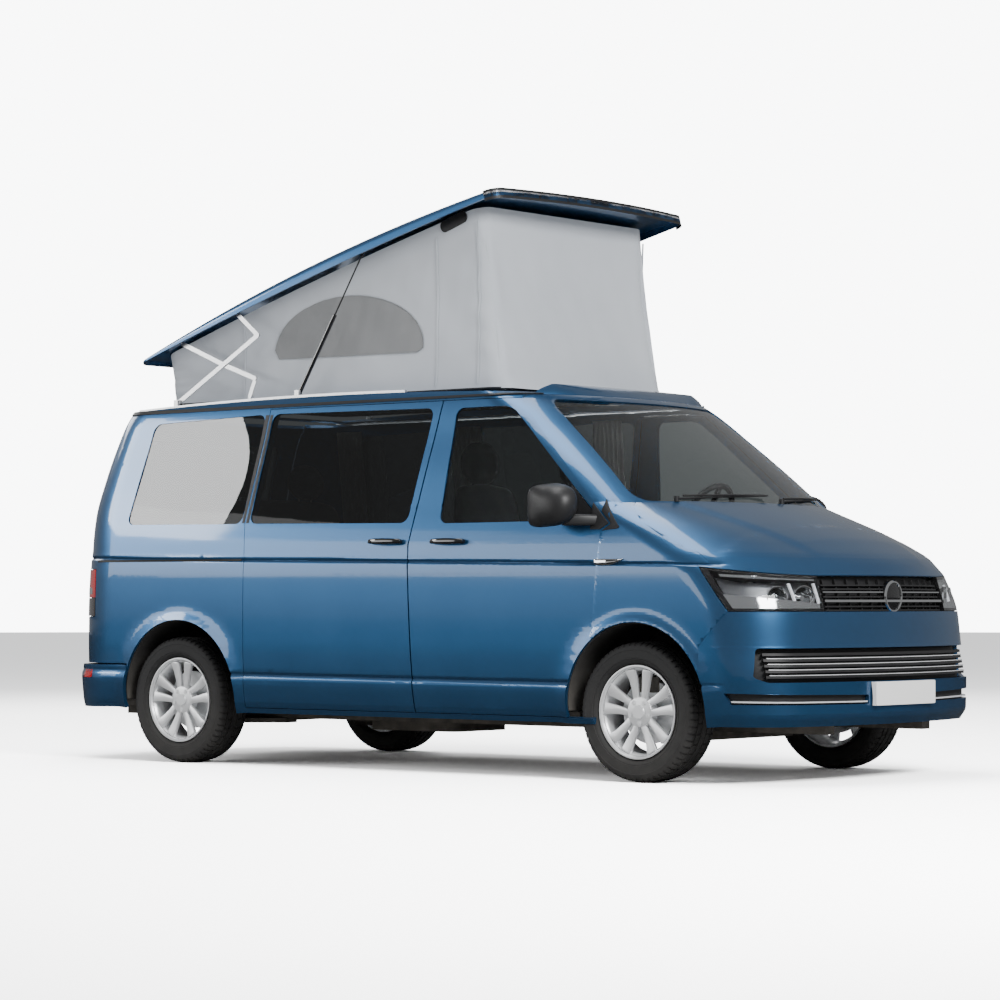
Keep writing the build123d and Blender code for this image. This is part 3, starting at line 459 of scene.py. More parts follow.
def rounded(points: Sequence[Pair], radius: float, segments: int = 6) -> list[Pair]:
    """Round the corners of a flat outline.

    Args:
        points: Corners of the outline.
        radius: Setback of the rounding from each corner.
        segments: Steps of each rounding.

    Returns:
        The rounded outline, in order.
    """
    mesh = bmesh.new()
    flat_face(mesh, [(x, z, 0.0) for x, z in points])
    return round_corners(mesh, mesh.verts[:], radius, segments)


def inset_loop(points: Sequence[Pair], amount: float) -> list[Pair]:
    """Move a flat outline inwards, or outwards where the amount is negative.

    Args:
        points: Corners of the outline.
        amount: Distance between the two outlines.

    Returns:
        The moved outline.
    """
    mesh = bmesh.new()
    face = flat_face(mesh, [(x, z, 0.0) for x, z in points])
    ops.inset_region(mesh, faces=[face], thickness=abs(amount), use_even_offset=True,
                     use_boundary=True, use_outset=False)
    loop = [(v.co.x, v.co.y) for v in face.verts]
    mesh.free()
    if amount < 0.0:
        return [(2.0 * x - a, 2.0 * z - b) for (x, z), (a, b) in zip(points, loop)]
    return loop


def fine_loop(points: Sequence[Pair], step: float = 0.03) -> list[Pair]:
    """Divide the long sides of a closed outline."""
    result = []
    for (x0, z0), (x1, z1) in zip(points, [*points[1:], points[0]]):
        count = max(1, math.ceil(math.hypot(x1 - x0, z1 - z0) / step))
        result += [(x0 + (x1 - x0) * i / count, z0 + (z1 - z0) * i / count) for i in range(count)]
    return result


# ------------------------------------------------------------------ body skin
@dataclass(frozen=True)
class Ring:
    """Plan outline of the body at one height, in metres."""

    z: float
    nose: float
    nose_radius: float
    nose_corner: float
    half: float
    tail: float
    tail_corner: float


LOWER = ((272, 2405, 2700, 690, 912, 2396, 640), (330, 2436, 2700, 700, 932, 2402, 650),
         (480, 2436, 2700, 710, 945, 2408, 650), (640, 2408, 2700, 702, 951, 2410, 650),
         (800, 2396, 2600, 690, 952, 2408, 650), (974, 2367, 2000, 640, 950, 2400, 650))
BONNET = ((974, 2367, 2000, 640, 950, 2400, 650), (1045, 2318, 1750, 620, 947, 2394, 650),
          (1110, 2208, 1750, 620, 941, 2388, 650), (1187, 2035, 1750, 650, 931, 2382, 650),
          (1254, 1858, 1750, 680, 921, 2374, 650), (1315, 1690, 1750, 710, 911, 2364, 650))
UPPER = ((1315, 1690, 1750, 710, 911, 2364, 650), (1490, 1466, 1750, 690, 886, 2306, 640),
         (1665, 1228, 1750, 670, 858, 2233, 630), (1840, 975, 1750, 650, 834, 2132, 620),
         (1875, 900, 1750, 640, 822, 2085, 615), (1905, 790, 1750, 620, 790, 2010, 600))
BLOCKS = tuple(tuple(Ring(*(v / 1000.0 for v in row)) for row in rows) for rows in (LOWER, BONNET, UPPER))
TAIL_RADIUS = 2.5
MARKS = (0.0, 0.65, 1.10, 4.60, 5.10, 5.80)
NOSE_MARK = MARKS[-1]


def monotone(places: Sequence[float], values: Sequence[float]) -> Callable[[float], float]:
    """Smooth curve through points that keeps to each step's direction.

    Args:
        places: Rising places.
        values: Value at each place.

    Returns:
        A function of place.
    """
    steps = [b - a for a, b in zip(places, places[1:])]
    slopes = [(b - a) / h for a, b, h in zip(values, values[1:], steps)]
    tangents = [slopes[0]]
    for i in range(1, len(slopes)):
        a, b = slopes[i - 1], slopes[i]
        tangents.append(0.0 if a * b <= 0.0 else 2.0 * a * b / (a + b))
    tangents.append(slopes[-1])

    def curve(place: float) -> float:
        """Value at one place."""
        i = 0
        while i < len(steps) - 1 and place > places[i + 1]:
            i += 1
        h = steps[i]
        t = (place - places[i]) / h
        t = min(max(t, -0.2), 1.2)
        a = values[i] * (1 + 2 * t) * (1 - t) ** 2 + values[i + 1] * t * t * (3 - 2 * t)
        return a + h * (tangents[i] * t * (1 - t) ** 2 + tangents[i + 1] * t * t * (t - 1))

    return curve


@dataclass(frozen=True)
class Plan:
    """One end of the outline at one height, solved into arcs."""

    end: float
    radius: float
    phi: float
    corner: float
    centre_x: float
    centre_y: float
    half: float


class BodySkin:
    """The body's outer surface as a function of ring place and height."""

    arch_radius = 0.405
    arch_places = ((1.560, 0.346), (-1.418, 0.346))
    flare = 0.012
    flare_width = 0.034
    groove_rear = (-2.38, 1.081)
    groove_front = (2.00, 1.018)
    groove_depth = 0.0075
    crease_depth = 0.006
    crease_swell = 0.010
    crease_rear = (-2.40, 0.478)
    crease_front = (1.95, 0.460)

    def __init__(self) -> None:
        """Make the interpolating curves."""
        names = ("nose", "nose_radius", "nose_corner", "half", "tail", "tail_corner")
        self.by_block = []
        for rows in BLOCKS:
            places = [r.z for r in rows]
            self.by_block.append({n: monotone(places, [getattr(r, n) for r in rows]) for n in names[:3]})
        rows = sorted({r.z: r for block in BLOCKS for r in block}.values(), key=lambda r: r.z)
        places = [r.z for r in rows]
        self.overall = {n: monotone(places, [getattr(r, n) for r in rows]) for n in names[3:]}

    @lru_cache(maxsize=None)
    def _ends(self, key: int) -> tuple[Plan, Plan]:
        """Nose and tail plans at a height given in hundredths of a millimetre."""
        z = key / 1e5
        block = 0 if z < 0.974 else 1 if z < 1.315 else 2
        half = self.overall["half"](z)
        nose = [self.by_block[block][n](z) for n in ("nose", "nose_radius", "nose_corner")]
        tail = [self.overall["tail"](z), TAIL_RADIUS, self.overall["tail_corner"](z)]
        plans = []
        for end, radius, corner_y in (nose, tail):
            phi = math.asin(corner_y / radius)
            corner = (half - corner_y) / (1.0 - math.sin(phi))
            centre_x = end - radius + (radius - corner) * math.cos(phi)
            plans.append(Plan(end, radius, phi, corner, centre_x, corner_y - corner * math.sin(phi), half))
        return plans[0], plans[1]

    def ends(self, z: float) -> tuple[Plan, Plan]:
        """Nose and tail plans at one height."""
        return self._ends(round(z * 1e5))

    def flat_point(self, place: float, z: float) -> tuple[float, float]:
        """Plan position of a ring place, without relief.

        Args:
            place: Ring place from 0 at the tail's centre to 5.8 at the nose's.
            z: Height in metres.

        Returns:
            X, and Y on the left side.
        """
        nose, tail = self.ends(z)
        _, arc, bend, side, turn, last = MARKS
        if place <= bend:
            if place <= arc:
                angle = place / arc * tail.phi
                return -(tail.end - tail.radius + tail.radius * math.cos(angle)), tail.radius * math.sin(angle)
            angle = tail.phi + (place - arc) / (bend - arc) * (math.pi / 2 - tail.phi)
            return -(tail.centre_x + tail.corner * math.cos(angle)), tail.centre_y + tail.corner * math.sin(angle)
        if place <= side:
            share = (place - bend) / (side - bend)
            return -tail.centre_x + share * (nose.centre_x + tail.centre_x), nose.half
        if place <= turn:
            angle = math.pi / 2 - (place - side) / (turn - side) * (math.pi / 2 - nose.phi)
            return nose.centre_x + nose.corner * math.cos(angle), nose.centre_y + nose.corner * math.sin(angle)
        angle = (last - place) / (last - turn) * nose.phi
        return nose.end - nose.radius + nose.radius * math.cos(angle), nose.radius * math.sin(angle)

    def place_of_x(self, x: float, z: float) -> float:
        """Ring place of the side point with a given X."""
        nose, tail = self.ends(z)
        _, arc, bend, side, turn, last = MARKS
        if x < -tail.centre_x:
            angle = math.acos(min(1.0, (-x - tail.centre_x) / tail.corner))
            if angle >= tail.phi:
                return arc + (angle - tail.phi) / (math.pi / 2 - tail.phi) * (bend - arc)
            return math.acos(max(-1.0, min(1.0, (-x - tail.end + tail.radius) / tail.radius))) / tail.phi * arc
        if x <= nose.centre_x:
            return bend + (x + tail.centre_x) / (nose.centre_x + tail.centre_x) * (side - bend)
        angle = math.acos(min(1.0, (x - nose.centre_x) / nose.corner))
        if angle >= nose.phi:
            return side + (math.pi / 2 - angle) / (math.pi / 2 - nose.phi) * (turn - side)
        angle = math.acos(max(-1.0, min(1.0, (x - nose.end + nose.radius) / nose.radius)))
        return last - angle / nose.phi * (last - turn)

    def place_of_y(self, y: float, z: float, front: bool) -> float:
        """Ring place of the nose or tail point with a given distance from the centre line."""
        plan = self.ends(z)[0 if front else 1]
        y = abs(y)
        if y <= plan.radius * math.sin(plan.phi):
            share = math.asin(y / plan.radius) / plan.phi
            return NOSE_MARK - share * (NOSE_MARK - MARKS[4]) if front else share * MARKS[1]
        angle = math.asin(min(1.0, (y - plan.centre_y) / plan.corner))
        share = (angle - plan.phi) / (math.pi / 2 - plan.phi)
        if front:
            return MARKS[4] - share * (MARKS[4] - MARKS[3])
        return MARKS[1] + share * (MARKS[2] - MARKS[1])

    def relief(self, x: float, z: float) -> float:
        """How far the pressed forms stand proud of the plain surface."""
        total = 0.0
        for centre_x, centre_z in self.arch_places:
            away = math.hypot(x - centre_x, z - centre_z) - self.arch_radius
            if away < 0.25:
                total += self.flare * math.exp(-((max(away, 0.0) / self.flare_width) ** 2))
        if x < self.groove_front[0]:
            share = (x - self.groove_rear[0]) / (self.groove_front[0] - self.groove_rear[0])
            line = self.groove_rear[1] + share * (self.groove_front[1] - self.groove_rear[1])
            away = z - line
            total -= self.groove_depth * math.exp(-((away / 0.006) ** 2))
            if away > 0.0:
                total -= 0.004 * (1.0 - math.exp(-away / 0.02)) * math.exp(-away / 0.12)
            line = self.crease_rear[1] + share * (self.crease_front[1] - self.crease_rear[1])
            away = z - line
            total -= self.crease_depth * math.exp(-((away / 0.007) ** 2))
            if away < 0.0:
                total += self.crease_swell * (1.0 - math.exp(away / 0.02)) * math.exp(away / 0.12)
        return total

    def point(self, place: float, z: float, depth: float, side: float) -> Vector:
        """Point on the skin, moved inwards by depth.

        Args:
            place: Ring place.
            z: Height.
            depth: Distance inwards along the surface normal.
            side: 1 for left, -1 for right.

        Returns:
            The point in the row frame.
        """
        x, y = self.flat_point(place, z)
        step = 0.002
        low, high = max(0.0, place - step), min(NOSE_MARK, place + step)
        xa, ya = self.flat_point(low, z)
        xb, yb = self.flat_point(high, z)
        xc, yc = self.flat_point(place, z + step)
        xd, yd = self.flat_point(place, z - step)
        normal = Vector((xc - xd, yc - yd, 2 * step)).cross(Vector((xb - xa, yb - ya, 0.0)))
        if place <= 1e-6 or place >= NOSE_MARK - 1e-6:
            normal.y = 0.0
        normal.normalize()
        out = self.relief(x, z) - depth
        return Vector((x + normal.x * out, side * (y + normal.y * out), z + normal.z * out))


SKIN = BodySkin()


class End(Enum):
    """Which end of the ring a plate's signed place counts from."""

    NOSE = "nose"
    TAIL = "tail"


class SkinPlate:
    """A solid plate cut from the body skin.

    Its flat form lies in signed place and height, so every cut is made flat before the plate takes its shape.
    """

    grid_place = 0.04
    grid_z = 0.022

    def __init__(self, end: End = End.NOSE) -> None:
        """Start an empty plate."""
        self.end = end
        self.loops: list[list[Pair]] = []
        self.slants: list[tuple[Pair, Pair]] = []

    def signed(self, place: float, side: float) -> float:
        """Signed place along the chart."""
        return side * (NOSE_MARK - place if self.end is End.NOSE else place)

    def side_loop(self, points: Sequence[Pair], side: float, step: float = 0.03) -> "SkinPlate":
        """Add an outline given in X and Z on one side."""
        loop = [(self.signed(SKIN.place_of_x(x, z), side), z) for x, z in fine_loop(points, step)]
        self.loops.append(loop)
        return self

    def front_loop(self, points: Sequence[Pair], step: float = 0.03) -> "SkinPlate":
        """Add an outline given in Y and Z across the nose or tail."""
        front = self.end is End.NOSE
        loop = []
        for y, z in fine_loop(points, step):
            loop.append((self.signed(SKIN.place_of_y(y, z, front), 1.0 if y >= 0.0 else -1.0), z))
        self.loops.append(loop)
        return self

    def crossing_loop(self, points: Sequence[Pair] | Sequence[Corner], step: float = 0.03) -> "SkinPlate":
        """Add the right half of an outline, closed by its mirror image across the centre line.

        Args:
            points: Corners in X and Z, of which those beyond the nose end at the centre line, or mixed corners.
            step: Longest side of the divided outline.

        Returns:
            This plate.
        """
        if len(points[0]) == 3:
            return self._crossing(self._mixed(points, -1.0, step))
        return self._crossing([(self.signed(SKIN.place_of_x(x, z), -1.0), z) for x, z in fine_loop(points, step)])

    def _crossing(self, half: list[Pair]) -> "SkinPlate":
        """Keep the half outline between its two centre points and mirror it."""
        centre = [abs(s) < 1e-6 for s, _ in half]
        count = len(half)
        first = next(i for i in range(count) if centre[i] and not centre[(i + 1) % count])
        right = [half[first]]
        i = (first + 1) % count
        while not centre[i]:
            right.append(half[i])
            i = (i + 1) % count
        right.append(half[i])
        self.loops.append(right + [(-s, z) for s, z in reversed(right[1:-1])])
        return self

    def _mixed(self, points: Sequence[Corner], side: float, step: float) -> list[Pair]:
        """Chart outline from corners that are each given by X, by Y or by chart place."""
        loop: list[Pair] = []
        front = self.end is End.NOSE

        def chart(kind: str, value: float, z: float) -> Pair:
            """One corner's chart position."""
            if kind == "x":
                return self.signed(SKIN.place_of_x(value, z), side), z
            if kind == "y":
                return self.signed(SKIN.place_of_y(value, z, front), side), z
            return side * value, z

        for (k0, a0, z0), (k1, a1, z1) in zip(points, [*points[1:], points[0]]):
            (s0, _), (s1, _) = chart(k0, a0, z0), chart(k1, a1, z1)
            count = max(1, math.ceil(math.hypot(s1 - s0, z1 - z0) / step))
            for i in range(count):
                t = i / count
                z = z0 + (z1 - z0) * t
                if k0 == k1:
                    loop.append(chart(k0, a0 + (a1 - a0) * t, z))
                else:
                    loop.append((s0 + (s1 - s0) * t, z))
        return [p for p, q in zip(loop, [loop[-1], *loop[:-1]]) if math.dist(p, q) > 1e-6]

    def mixed_loop(self, points: Sequence[Corner], side: float,
                   step: float = 0.03) -> "SkinPlate":
        """Add an outline whose corners are each given by X, by Y or by chart place."""
        self.loops.append(self._mixed(points, side, step))
        return self

    def slant(self, start: Pair, end: Pair, side: float, offsets: Sequence[float]) -> "SkinPlate":
        """Add cut lines that follow a pressed line, from points in X and Z."""
        for offset in offsets:
            line = []
            for x, z in (start, end):
                line.append((self.signed(SKIN.place_of_x(x, z + offset), side), z + offset))
            self.slants.append((line[0], line[1]))
        return self

    def pressed_lines(self, *sides: float) -> "SkinPlate":
        """Add the cut lines of the belt groove and the lower crease."""
        for side in sides:
            self.slant(SKIN.groove_rear, SKIN.groove_front, side, (-0.014, -0.008, -0.004, 0.0, 0.004, 0.008, 0.018))
            self.slant(SKIN.crease_rear, SKIN.crease_front, side, (-0.03, -0.015, -0.006, 0.0, 0.006, 0.014))
        return self

    def _even_out(self, mesh: BMesh, levels: Sequence[float], axis: int) -> None:
        """Move a bent plate onto the closest smooth surface, so that its reflections are calm.

        Args:
            mesh: The bent plate.
            levels: Each vertex's depth in the plate.
            axis: Axis along which the vertices move.
        """
        points = np.array([vert.co[:] for vert in mesh.verts])
        u, w = points[:, 1 - axis], points[:, 2]
        u = (u - u.mean()) / np.ptp(u)
        w = (w - w.mean()) / np.ptp(w)
        terms = [u ** i * w ** j for i in range(5) for j in range(4) if i + j < 5]
        columns = np.stack([*terms, np.array(levels)], axis=1)
        smooth = columns @ np.linalg.lstsq(columns, points[:, axis], rcond=None)[0]
        log.info("plate evened out by up to %.2f mm", 1000.0 * float(np.abs(smooth - points[:, axis]).max()))
        for vert, value in zip(mesh.verts, smooth):
            vert.co[axis] = value

    def build(self, name: str, outer: float, inner: float, rim: float = 0.0015, inner_index: int = 0,
              swell: Callable[[float, float], float] | None = None, fair: int | None = None) -> Object:
        """Fill, cut, thicken, round and bend the plate.

        Args:
            name: Name of the piece.
            outer: Depth of the outer face below the skin.
            inner: Depth of the inner face below the skin.
            rim: Rounding of the outer rim.
            inner_index: Material index of the inner face.
            swell: Extra outward distance at a ring place and height.
            fair: Axis along which the bent plate is evened out, for glass.

        Returns:
            The new object.
        """
        mesh = bmesh.new()
        edges = []
        for loop in self.loops:
            edges += closed_loop(mesh, [(s, z, 0.0) for s, z in loop])[1]
        ops.triangle_fill(mesh, use_beauty=False, use_dissolve=False, edges=edges, normal=(0.0, 0.0, 1.0))
        places = [s for loop in self.loops for s, _ in loop]
        heights = [z for loop in self.loops for _, z in loop]
        lines = []
        for low, high, step, vertical in ((min(places), max(places), self.grid_place, True),
                                          (min(heights), max(heights), self.grid_z, False)):
            first = math.ceil(low / step)
            for i in range(first, math.floor(high / step) + 1):
                lines.append(((i * step, 0.0), (1.0, 0.0)) if vertical else ((0.0, i * step), (0.0, 1.0)))
        for (s0, z0), (s1, z1) in self.slants:
            run = math.hypot(s1 - s0, z1 - z0)
            lines.append(((s0, z0), ((z1 - z0) / run, -(s1 - s0) / run)))
        for point, normal in lines:
            slice_at(mesh, (*point, 0.0), (*normal, 0.0), 1e-5)
        spare = []
        for edge in mesh.edges:
            if len(edge.link_faces) != 2:
                continue
            a, b = edge.verts[0].co, edge.verts[1].co
            on_line = abs(a.x - b.x) < 1e-5 or abs(a.y - b.y) < 1e-5
            if not on_line:
                for (s0, z0), (nx, nz) in lines[-len(self.slants):] if self.slants else ():
                    if max(abs((v.x - s0) * nx + (v.y - z0) * nz) for v in (a, b)) < 2e-5:
                        on_line = True
                        break
            if not on_line:
                spare.append(edge)
        ops.dissolve_edges(mesh, edges=spare, use_verts=False, use_face_split=False)
        for face in mesh.faces:
            if face.normal.z < 0.0:
                face.normal_flip()
        ops.translate(mesh, verts=extruded(mesh, mesh.faces[:]), vec=(0.0, 0.0, outer - inner))
        ops.recalc_face_normals(mesh, faces=mesh.faces[:])
        for face in mesh.faces:
            if face.normal.z < -0.5:
                face.material_index = inner_index
        if rim:
            limit = math.radians(60.0)
            sharp = [e for e in mesh.edges if len(e.link_faces) == 2 and e.calc_face_angle(0.0) > limit
                     and all(v.co.z > -1e-6 for v in e.verts)]
            round_edges(mesh, sharp, rim, 2)
        levels = []
        for vert in mesh.verts:
            s, z, level = vert.co
            side = 1.0 if s >= 0.0 else -1.0
            place = NOSE_MARK - abs(s) if self.end is End.NOSE else abs(s)
            extra = swell(place, z) if swell else 0.0
            vert.co = SKIN.point(place, z, outer - level - extra, side)
            levels.append(level)
        if fair is not None:
            self._even_out(mesh, levels, fair)
        ops.recalc_face_normals(mesh, faces=mesh.faces[:])
        return as_object(name, mesh, 40.0)


def cut_arch(points: Sequence[Pair], centre: Pair, radius: float) -> list[Pair]:
    """Replace the part of an outline that lies inside a wheel arch with the arch's edge.

    Args:
        points: Outline in X and Z.
        centre: Centre of the arch.
        radius: Radius of the arch.

    Returns:
        The outline with the arch cut from it.
    """
    loop = fine_loop(points, 0.01)
    inside = [math.dist(p, centre) < radius for p in loop]
    if True not in inside:
        return list(points)
    count = len(loop)
    start = next(i for i in range(count) if not inside[i - 1] and inside[i])
    kept = []
    i = start
    while inside[i % count]:
        i += 1
    leave = loop[i % count]
    while not inside[i % count]:
        kept.append(loop[i % count])
        i += 1
        if len(kept) > count:
            break
    enter = kept[-1]
    first = math.atan2(enter[1] - centre[1], enter[0] - centre[0])
    last = math.atan2(leave[1] - centre[1], leave[0] - centre[0])
    span = math.remainder(last - first, 2 * math.pi)
    steps = max(4, int(abs(span) * radius / 0.02))
    arc = [(centre[0] + radius * math.cos(first + span * k / steps),
            centre[1] + radius * math.sin(first + span * k / steps)) for k in range(steps + 1)]
    return kept + arc


# ------------------------------------------------------------------ outlines, in metres
FRONT_DOOR = ((0.205, 0.302), (1.314, 0.302), (1.314, 0.736), (1.350, 1.184), (1.400, 1.215), (0.752, 1.838),
              (0.306, 1.838), (0.162, 1.126))
SLIDING_DOOR = ((-0.951, 0.302), (0.197, 0.302), (0.154, 1.126), (0.298, 1.838), (-0.864, 1.838),
                (-0.966, 1.240), (-0.951, 1.061))
QUARTER_WINDOW = ((-1.838, 1.255), (-0.992, 1.247), (-0.894, 1.815), (-1.700, 1.790))
MIDDLE_WINDOW = ((-0.938, 1.247), (0.140, 1.235), (0.250, 1.805), (-0.842, 1.815))
FRONT_WINDOW = ((0.348, 1.230), (1.345, 1.232), (0.735, 1.800), (0.395, 1.800))
WINDSCREEN = ((-0.806, 1.322), (0.806, 1.322), (0.690, 1.836), (-0.690, 1.836))
TAILGATE_WINDOW = ((-0.650, 1.190), (0.650, 1.190), (0.580, 1.740), (-0.580, 1.740))
WING = ((1.314, 0.272), (1.314, 0.736), (1.350, 1.184), (1.400, 1.215), (1.400, 1.315), (1.470, 1.315),
        (1.480, 1.297), (1.560, 1.228), (1.705, 1.147), (1.905, 1.070), (1.965, 1.020), (1.914, 1.010),
        (2.081, 0.800), (1.930, 0.640), (1.930, 0.272))
BONNET_SIDE = ((1.914, 1.010), (1.965, 1.020), (1.905, 1.070), (1.705, 1.147), (1.560, 1.228), (1.480, 1.297),
               (1.470, 1.315), (2.600, 1.315), (2.600, 0.972), (2.298, 0.968))
FRAME_SIDE = ((1.400, 1.215), (1.400, 1.315), (2.500, 1.315), (2.500, 1.862), (0.752, 1.862), (0.752, 1.838))
BUMPER_SIDE = ((1.930, 0.273), (1.930, 0.640), (2.081, 0.800), (2.600, 0.800), (2.600, 0.273))
LOWER_GRILLE = ((-0.860, 0.477), (0.860, 0.477), (0.900, 0.500), (0.880, 0.633), (-0.880, 0.633), (-0.900, 0.500))
BUMPER_SLOT = (("y", 0.278, 0.372), ("x", 2.095, 0.376), ("x", 2.062, 0.428), ("y", 0.278, 0.414))
SEAM = 0.003
WINDOW_CORNER = 0.045
PANEL = 0.022
REAR_TOP = 0.518
CANTRAIL = 1.8618
SIDES = {"right": -1.0, "left": 1.0}


def bumper_swell(place: float, z: float) -> float:
    """How far the rear bumper stands beyond the body's plain surface."""
    share = max(0.0, 1.0 - place / MARKS[2])
    depth = 0.006 + 0.036 * min(1.0, share * 3.0)
    return depth - 0.02 * max(0.0, (z - 0.47) / 0.04) * share


class BodyShell:
    """Painted panels of the body."""

    def __init__(self) -> None:
        """Build every painted panel."""
        for name, side in SIDES.items():
            self.rear_side(name, side)
            self.front_door(name, side)
            self.wing(name, side)
        self.sliding_door()
        self.bonnet()
        self.screen_frame()
        self.front_bumper()
        self.rear_bumper()
        self.tailgate()

    def dress(self, obj: Object, body: str, *nodes: str) -> Object:
        """Paint a panel, line its inside, and let it ride and replace its nodes."""
        log.info("panel %s rides on %s", obj.name, body)
        return fit(finish(obj, PAINT, LINING), body, "paint", *nodes)

    def rear_side(self, name: str, side: float) -> None:
        """Rear quarter, sill and cantrail in one pressing."""
        plate = SkinPlate(End.TAIL)
        rear_edge = [("y", 0.771, REAR_TOP), ("y", 0.771, 0.765), ("x", -2.070, 0.765), ("x", -2.070, 1.021),
                     ("y", 0.771, 1.021), ("y", 0.771, 1.100), ("y", 0.675, 1.8560), ("y", 0.673, CANTRAIL)]
        top = [("x", 0.752, CANTRAIL), ("x", 0.752, 1.841)]
        if side < 0.0:
            door = [("x", -0.867, 1.841), ("x", -0.969, 1.240), ("x", -0.954, 1.061), ("x", -0.954, 0.299)]
        else:
            door = [("x", 0.303, 1.841), ("x", 0.159, 1.126), ("x", 0.202, 0.299)]
        sill = [("x", 1.311, 0.299), ("x", 1.311, 0.273)]
        arch = [("x", x, z) for x, z in self.arch_edge(SKIN.arch_places[1])]
        plate.mixed_loop(rear_edge + top + door + sill + arch + [("x", -1.796, REAR_TOP)], side)
        plate.side_loop(rounded(QUARTER_WINDOW, WINDOW_CORNER), side)
        if side > 0.0:
            plate.side_loop(rounded(MIDDLE_WINDOW, WINDOW_CORNER), side)
        plate.pressed_lines(side)
        self.dress(plate.build(f"body_panel_{name}", 0.0, PANEL, inner_index=1), "body", f"body_side_{name}")

    def arch_edge(self, centre: Pair) -> list[Pair]:
        """Edge of the rear arch from its front foot over the top to where it meets the bumper."""
        radius = SKIN.arch_radius
        low = math.asin((0.273 - centre[1]) / radius)
        high = math.pi - math.asin((0.4914 - centre[1]) / radius)
        steps = 60
        angles = [low + (high - low) * i / steps for i in range(steps + 1)]
        return [(centre[0] + radius * math.cos(a), centre[1] + radius * math.sin(a)) for a in angles]

    def front_door(self, name: str, side: float) -> None:
        """Front door panel."""
        outline = cut_arch(inset_loop(FRONT_DOOR, SEAM), SKIN.arch_places[0], SKIN.arch_radius)
        plate = SkinPlate().side_loop(outline, side).side_loop(rounded(FRONT_WINDOW, WINDOW_CORNER), side)
        plate.pressed_lines(side)
        self.dress(plate.build(f"front_door_panel_{name}", 0.0, PANEL, inner_index=1),
                   f"front_door_{name}", f"door_{name}")

    def sliding_door(self) -> None:
        """Sliding door panel on the right side."""
        plate = SkinPlate().side_loop(inset_loop(SLIDING_DOOR, SEAM), -1.0)
        plate.side_loop(rounded(MIDDLE_WINDOW, WINDOW_CORNER), -1.0)
        plate.pressed_lines(-1.0)
        self.dress(plate.build("sliding_door_panel", 0.0, PANEL, inner_index=1), "body", "sliding_door")

    def wing(self, name: str, side: float) -> None:
        """Front wing."""
        outline = cut_arch(inset_loop(WING, SEAM), SKIN.arch_places[0], SKIN.arch_radius)
        plate = SkinPlate().side_loop(outline, side)
        plate.grid_place, plate.grid_z = 0.02, 0.014
        plate.pressed_lines(side)
        nodes = ["front_wings"] if name == "right" else []
        self.dress(plate.build(f"wing_{name}", 0.0, PANEL, inner_index=1), "body", *nodes)

    def bonnet(self) -> None:
        """Bonnet with its two long creases."""
        plate = SkinPlate().crossing_loop(inset_loop(BONNET_SIDE, SEAM))
        plate.grid_place = plate.grid_z = 0.025

        def swell(place: float, z: float) -> float:
            """Height of the raised middle between the creases."""
            x, y = SKIN.flat_point(place, z)
            crease = 0.650 - 0.28 * (x - 1.5)
            fade = min(1.0, max(0.0, (2.30 - x) / 0.15)) * min(1.0, max(0.0, (x - 1.48) / 0.06))
            return 0.010 * fade / (1.0 + math.exp((abs(y) - crease) / 0.012))

        self.dress(plate.build("bonnet_panel", 0.0, PANEL, 0.0015, 1, swell), "bonnet", "bonnet")

    def screen_frame(self) -> None:
        """Windscreen pillars, header and cowl."""
        plate = SkinPlate().crossing_loop(inset_loop(FRAME_SIDE, 0.0006))
        plate.front_loop(rounded(WINDSCREEN, 0.06))
        self.dress(plate.build("screen_pillars", 0.0, PANEL, inner_index=1), "body", "windscreen_frame")

    def front_bumper(self) -> None:
        """Front bumper skin with its two grille openings."""
        outline = cut_arch(inset_loop(BUMPER_SIDE, SEAM), SKIN.arch_places[0], SKIN.arch_radius)
        plate = SkinPlate().crossing_loop(outline)
        plate.front_loop(rounded(LOWER_GRILLE, 0.012, 3))
        for side in SIDES.values():
            plate.mixed_loop(BUMPER_SLOT, side)
        self.dress(plate.build("front_bumper_skin", 0.0, PANEL, inner_index=1), "body", "front_bumper")

    def rear_bumper(self) -> None:
        """Rear bumper with its step ledge."""
        plate = SkinPlate(End.TAIL)
        (arch_x, arch_z), radius = SKIN.arch_places[1], SKIN.arch_radius
        high, low = (math.asin((z - arch_z) / radius) for z in (0.4914, 0.288))
        angles = [high + (low - high) * i / 8 for i in range(9)]
        edge = [("x", arch_x - radius * math.cos(a), arch_z + radius * math.sin(a)) for a in angles]
        plate.crossing_loop([("s", 0.0, 0.288), ("s", 0.0, 0.510), ("x", -1.800, 0.510), *edge])
        self.dress(plate.build("rear_bumper_skin", 0.0, PANEL, 0.006, 1, bumper_swell), "body", "rear_bumper")

    def tailgate(self) -> None:
        """Tailgate panel."""
        plate = SkinPlate(End.TAIL)
        plate.front_loop(((-0.765, 0.524), (0.765, 0.524), (0.765, 1.100), (0.668, 1.856), (-0.668, 1.856),
                          (-0.765, 1.100)))
        plate.front_loop(rounded(TAILGATE_WINDOW, 0.05))
        self.dress(plate.build("tailgate_panel", 0.0, PANEL, inner_index=1), "tailgate", "tailgate")


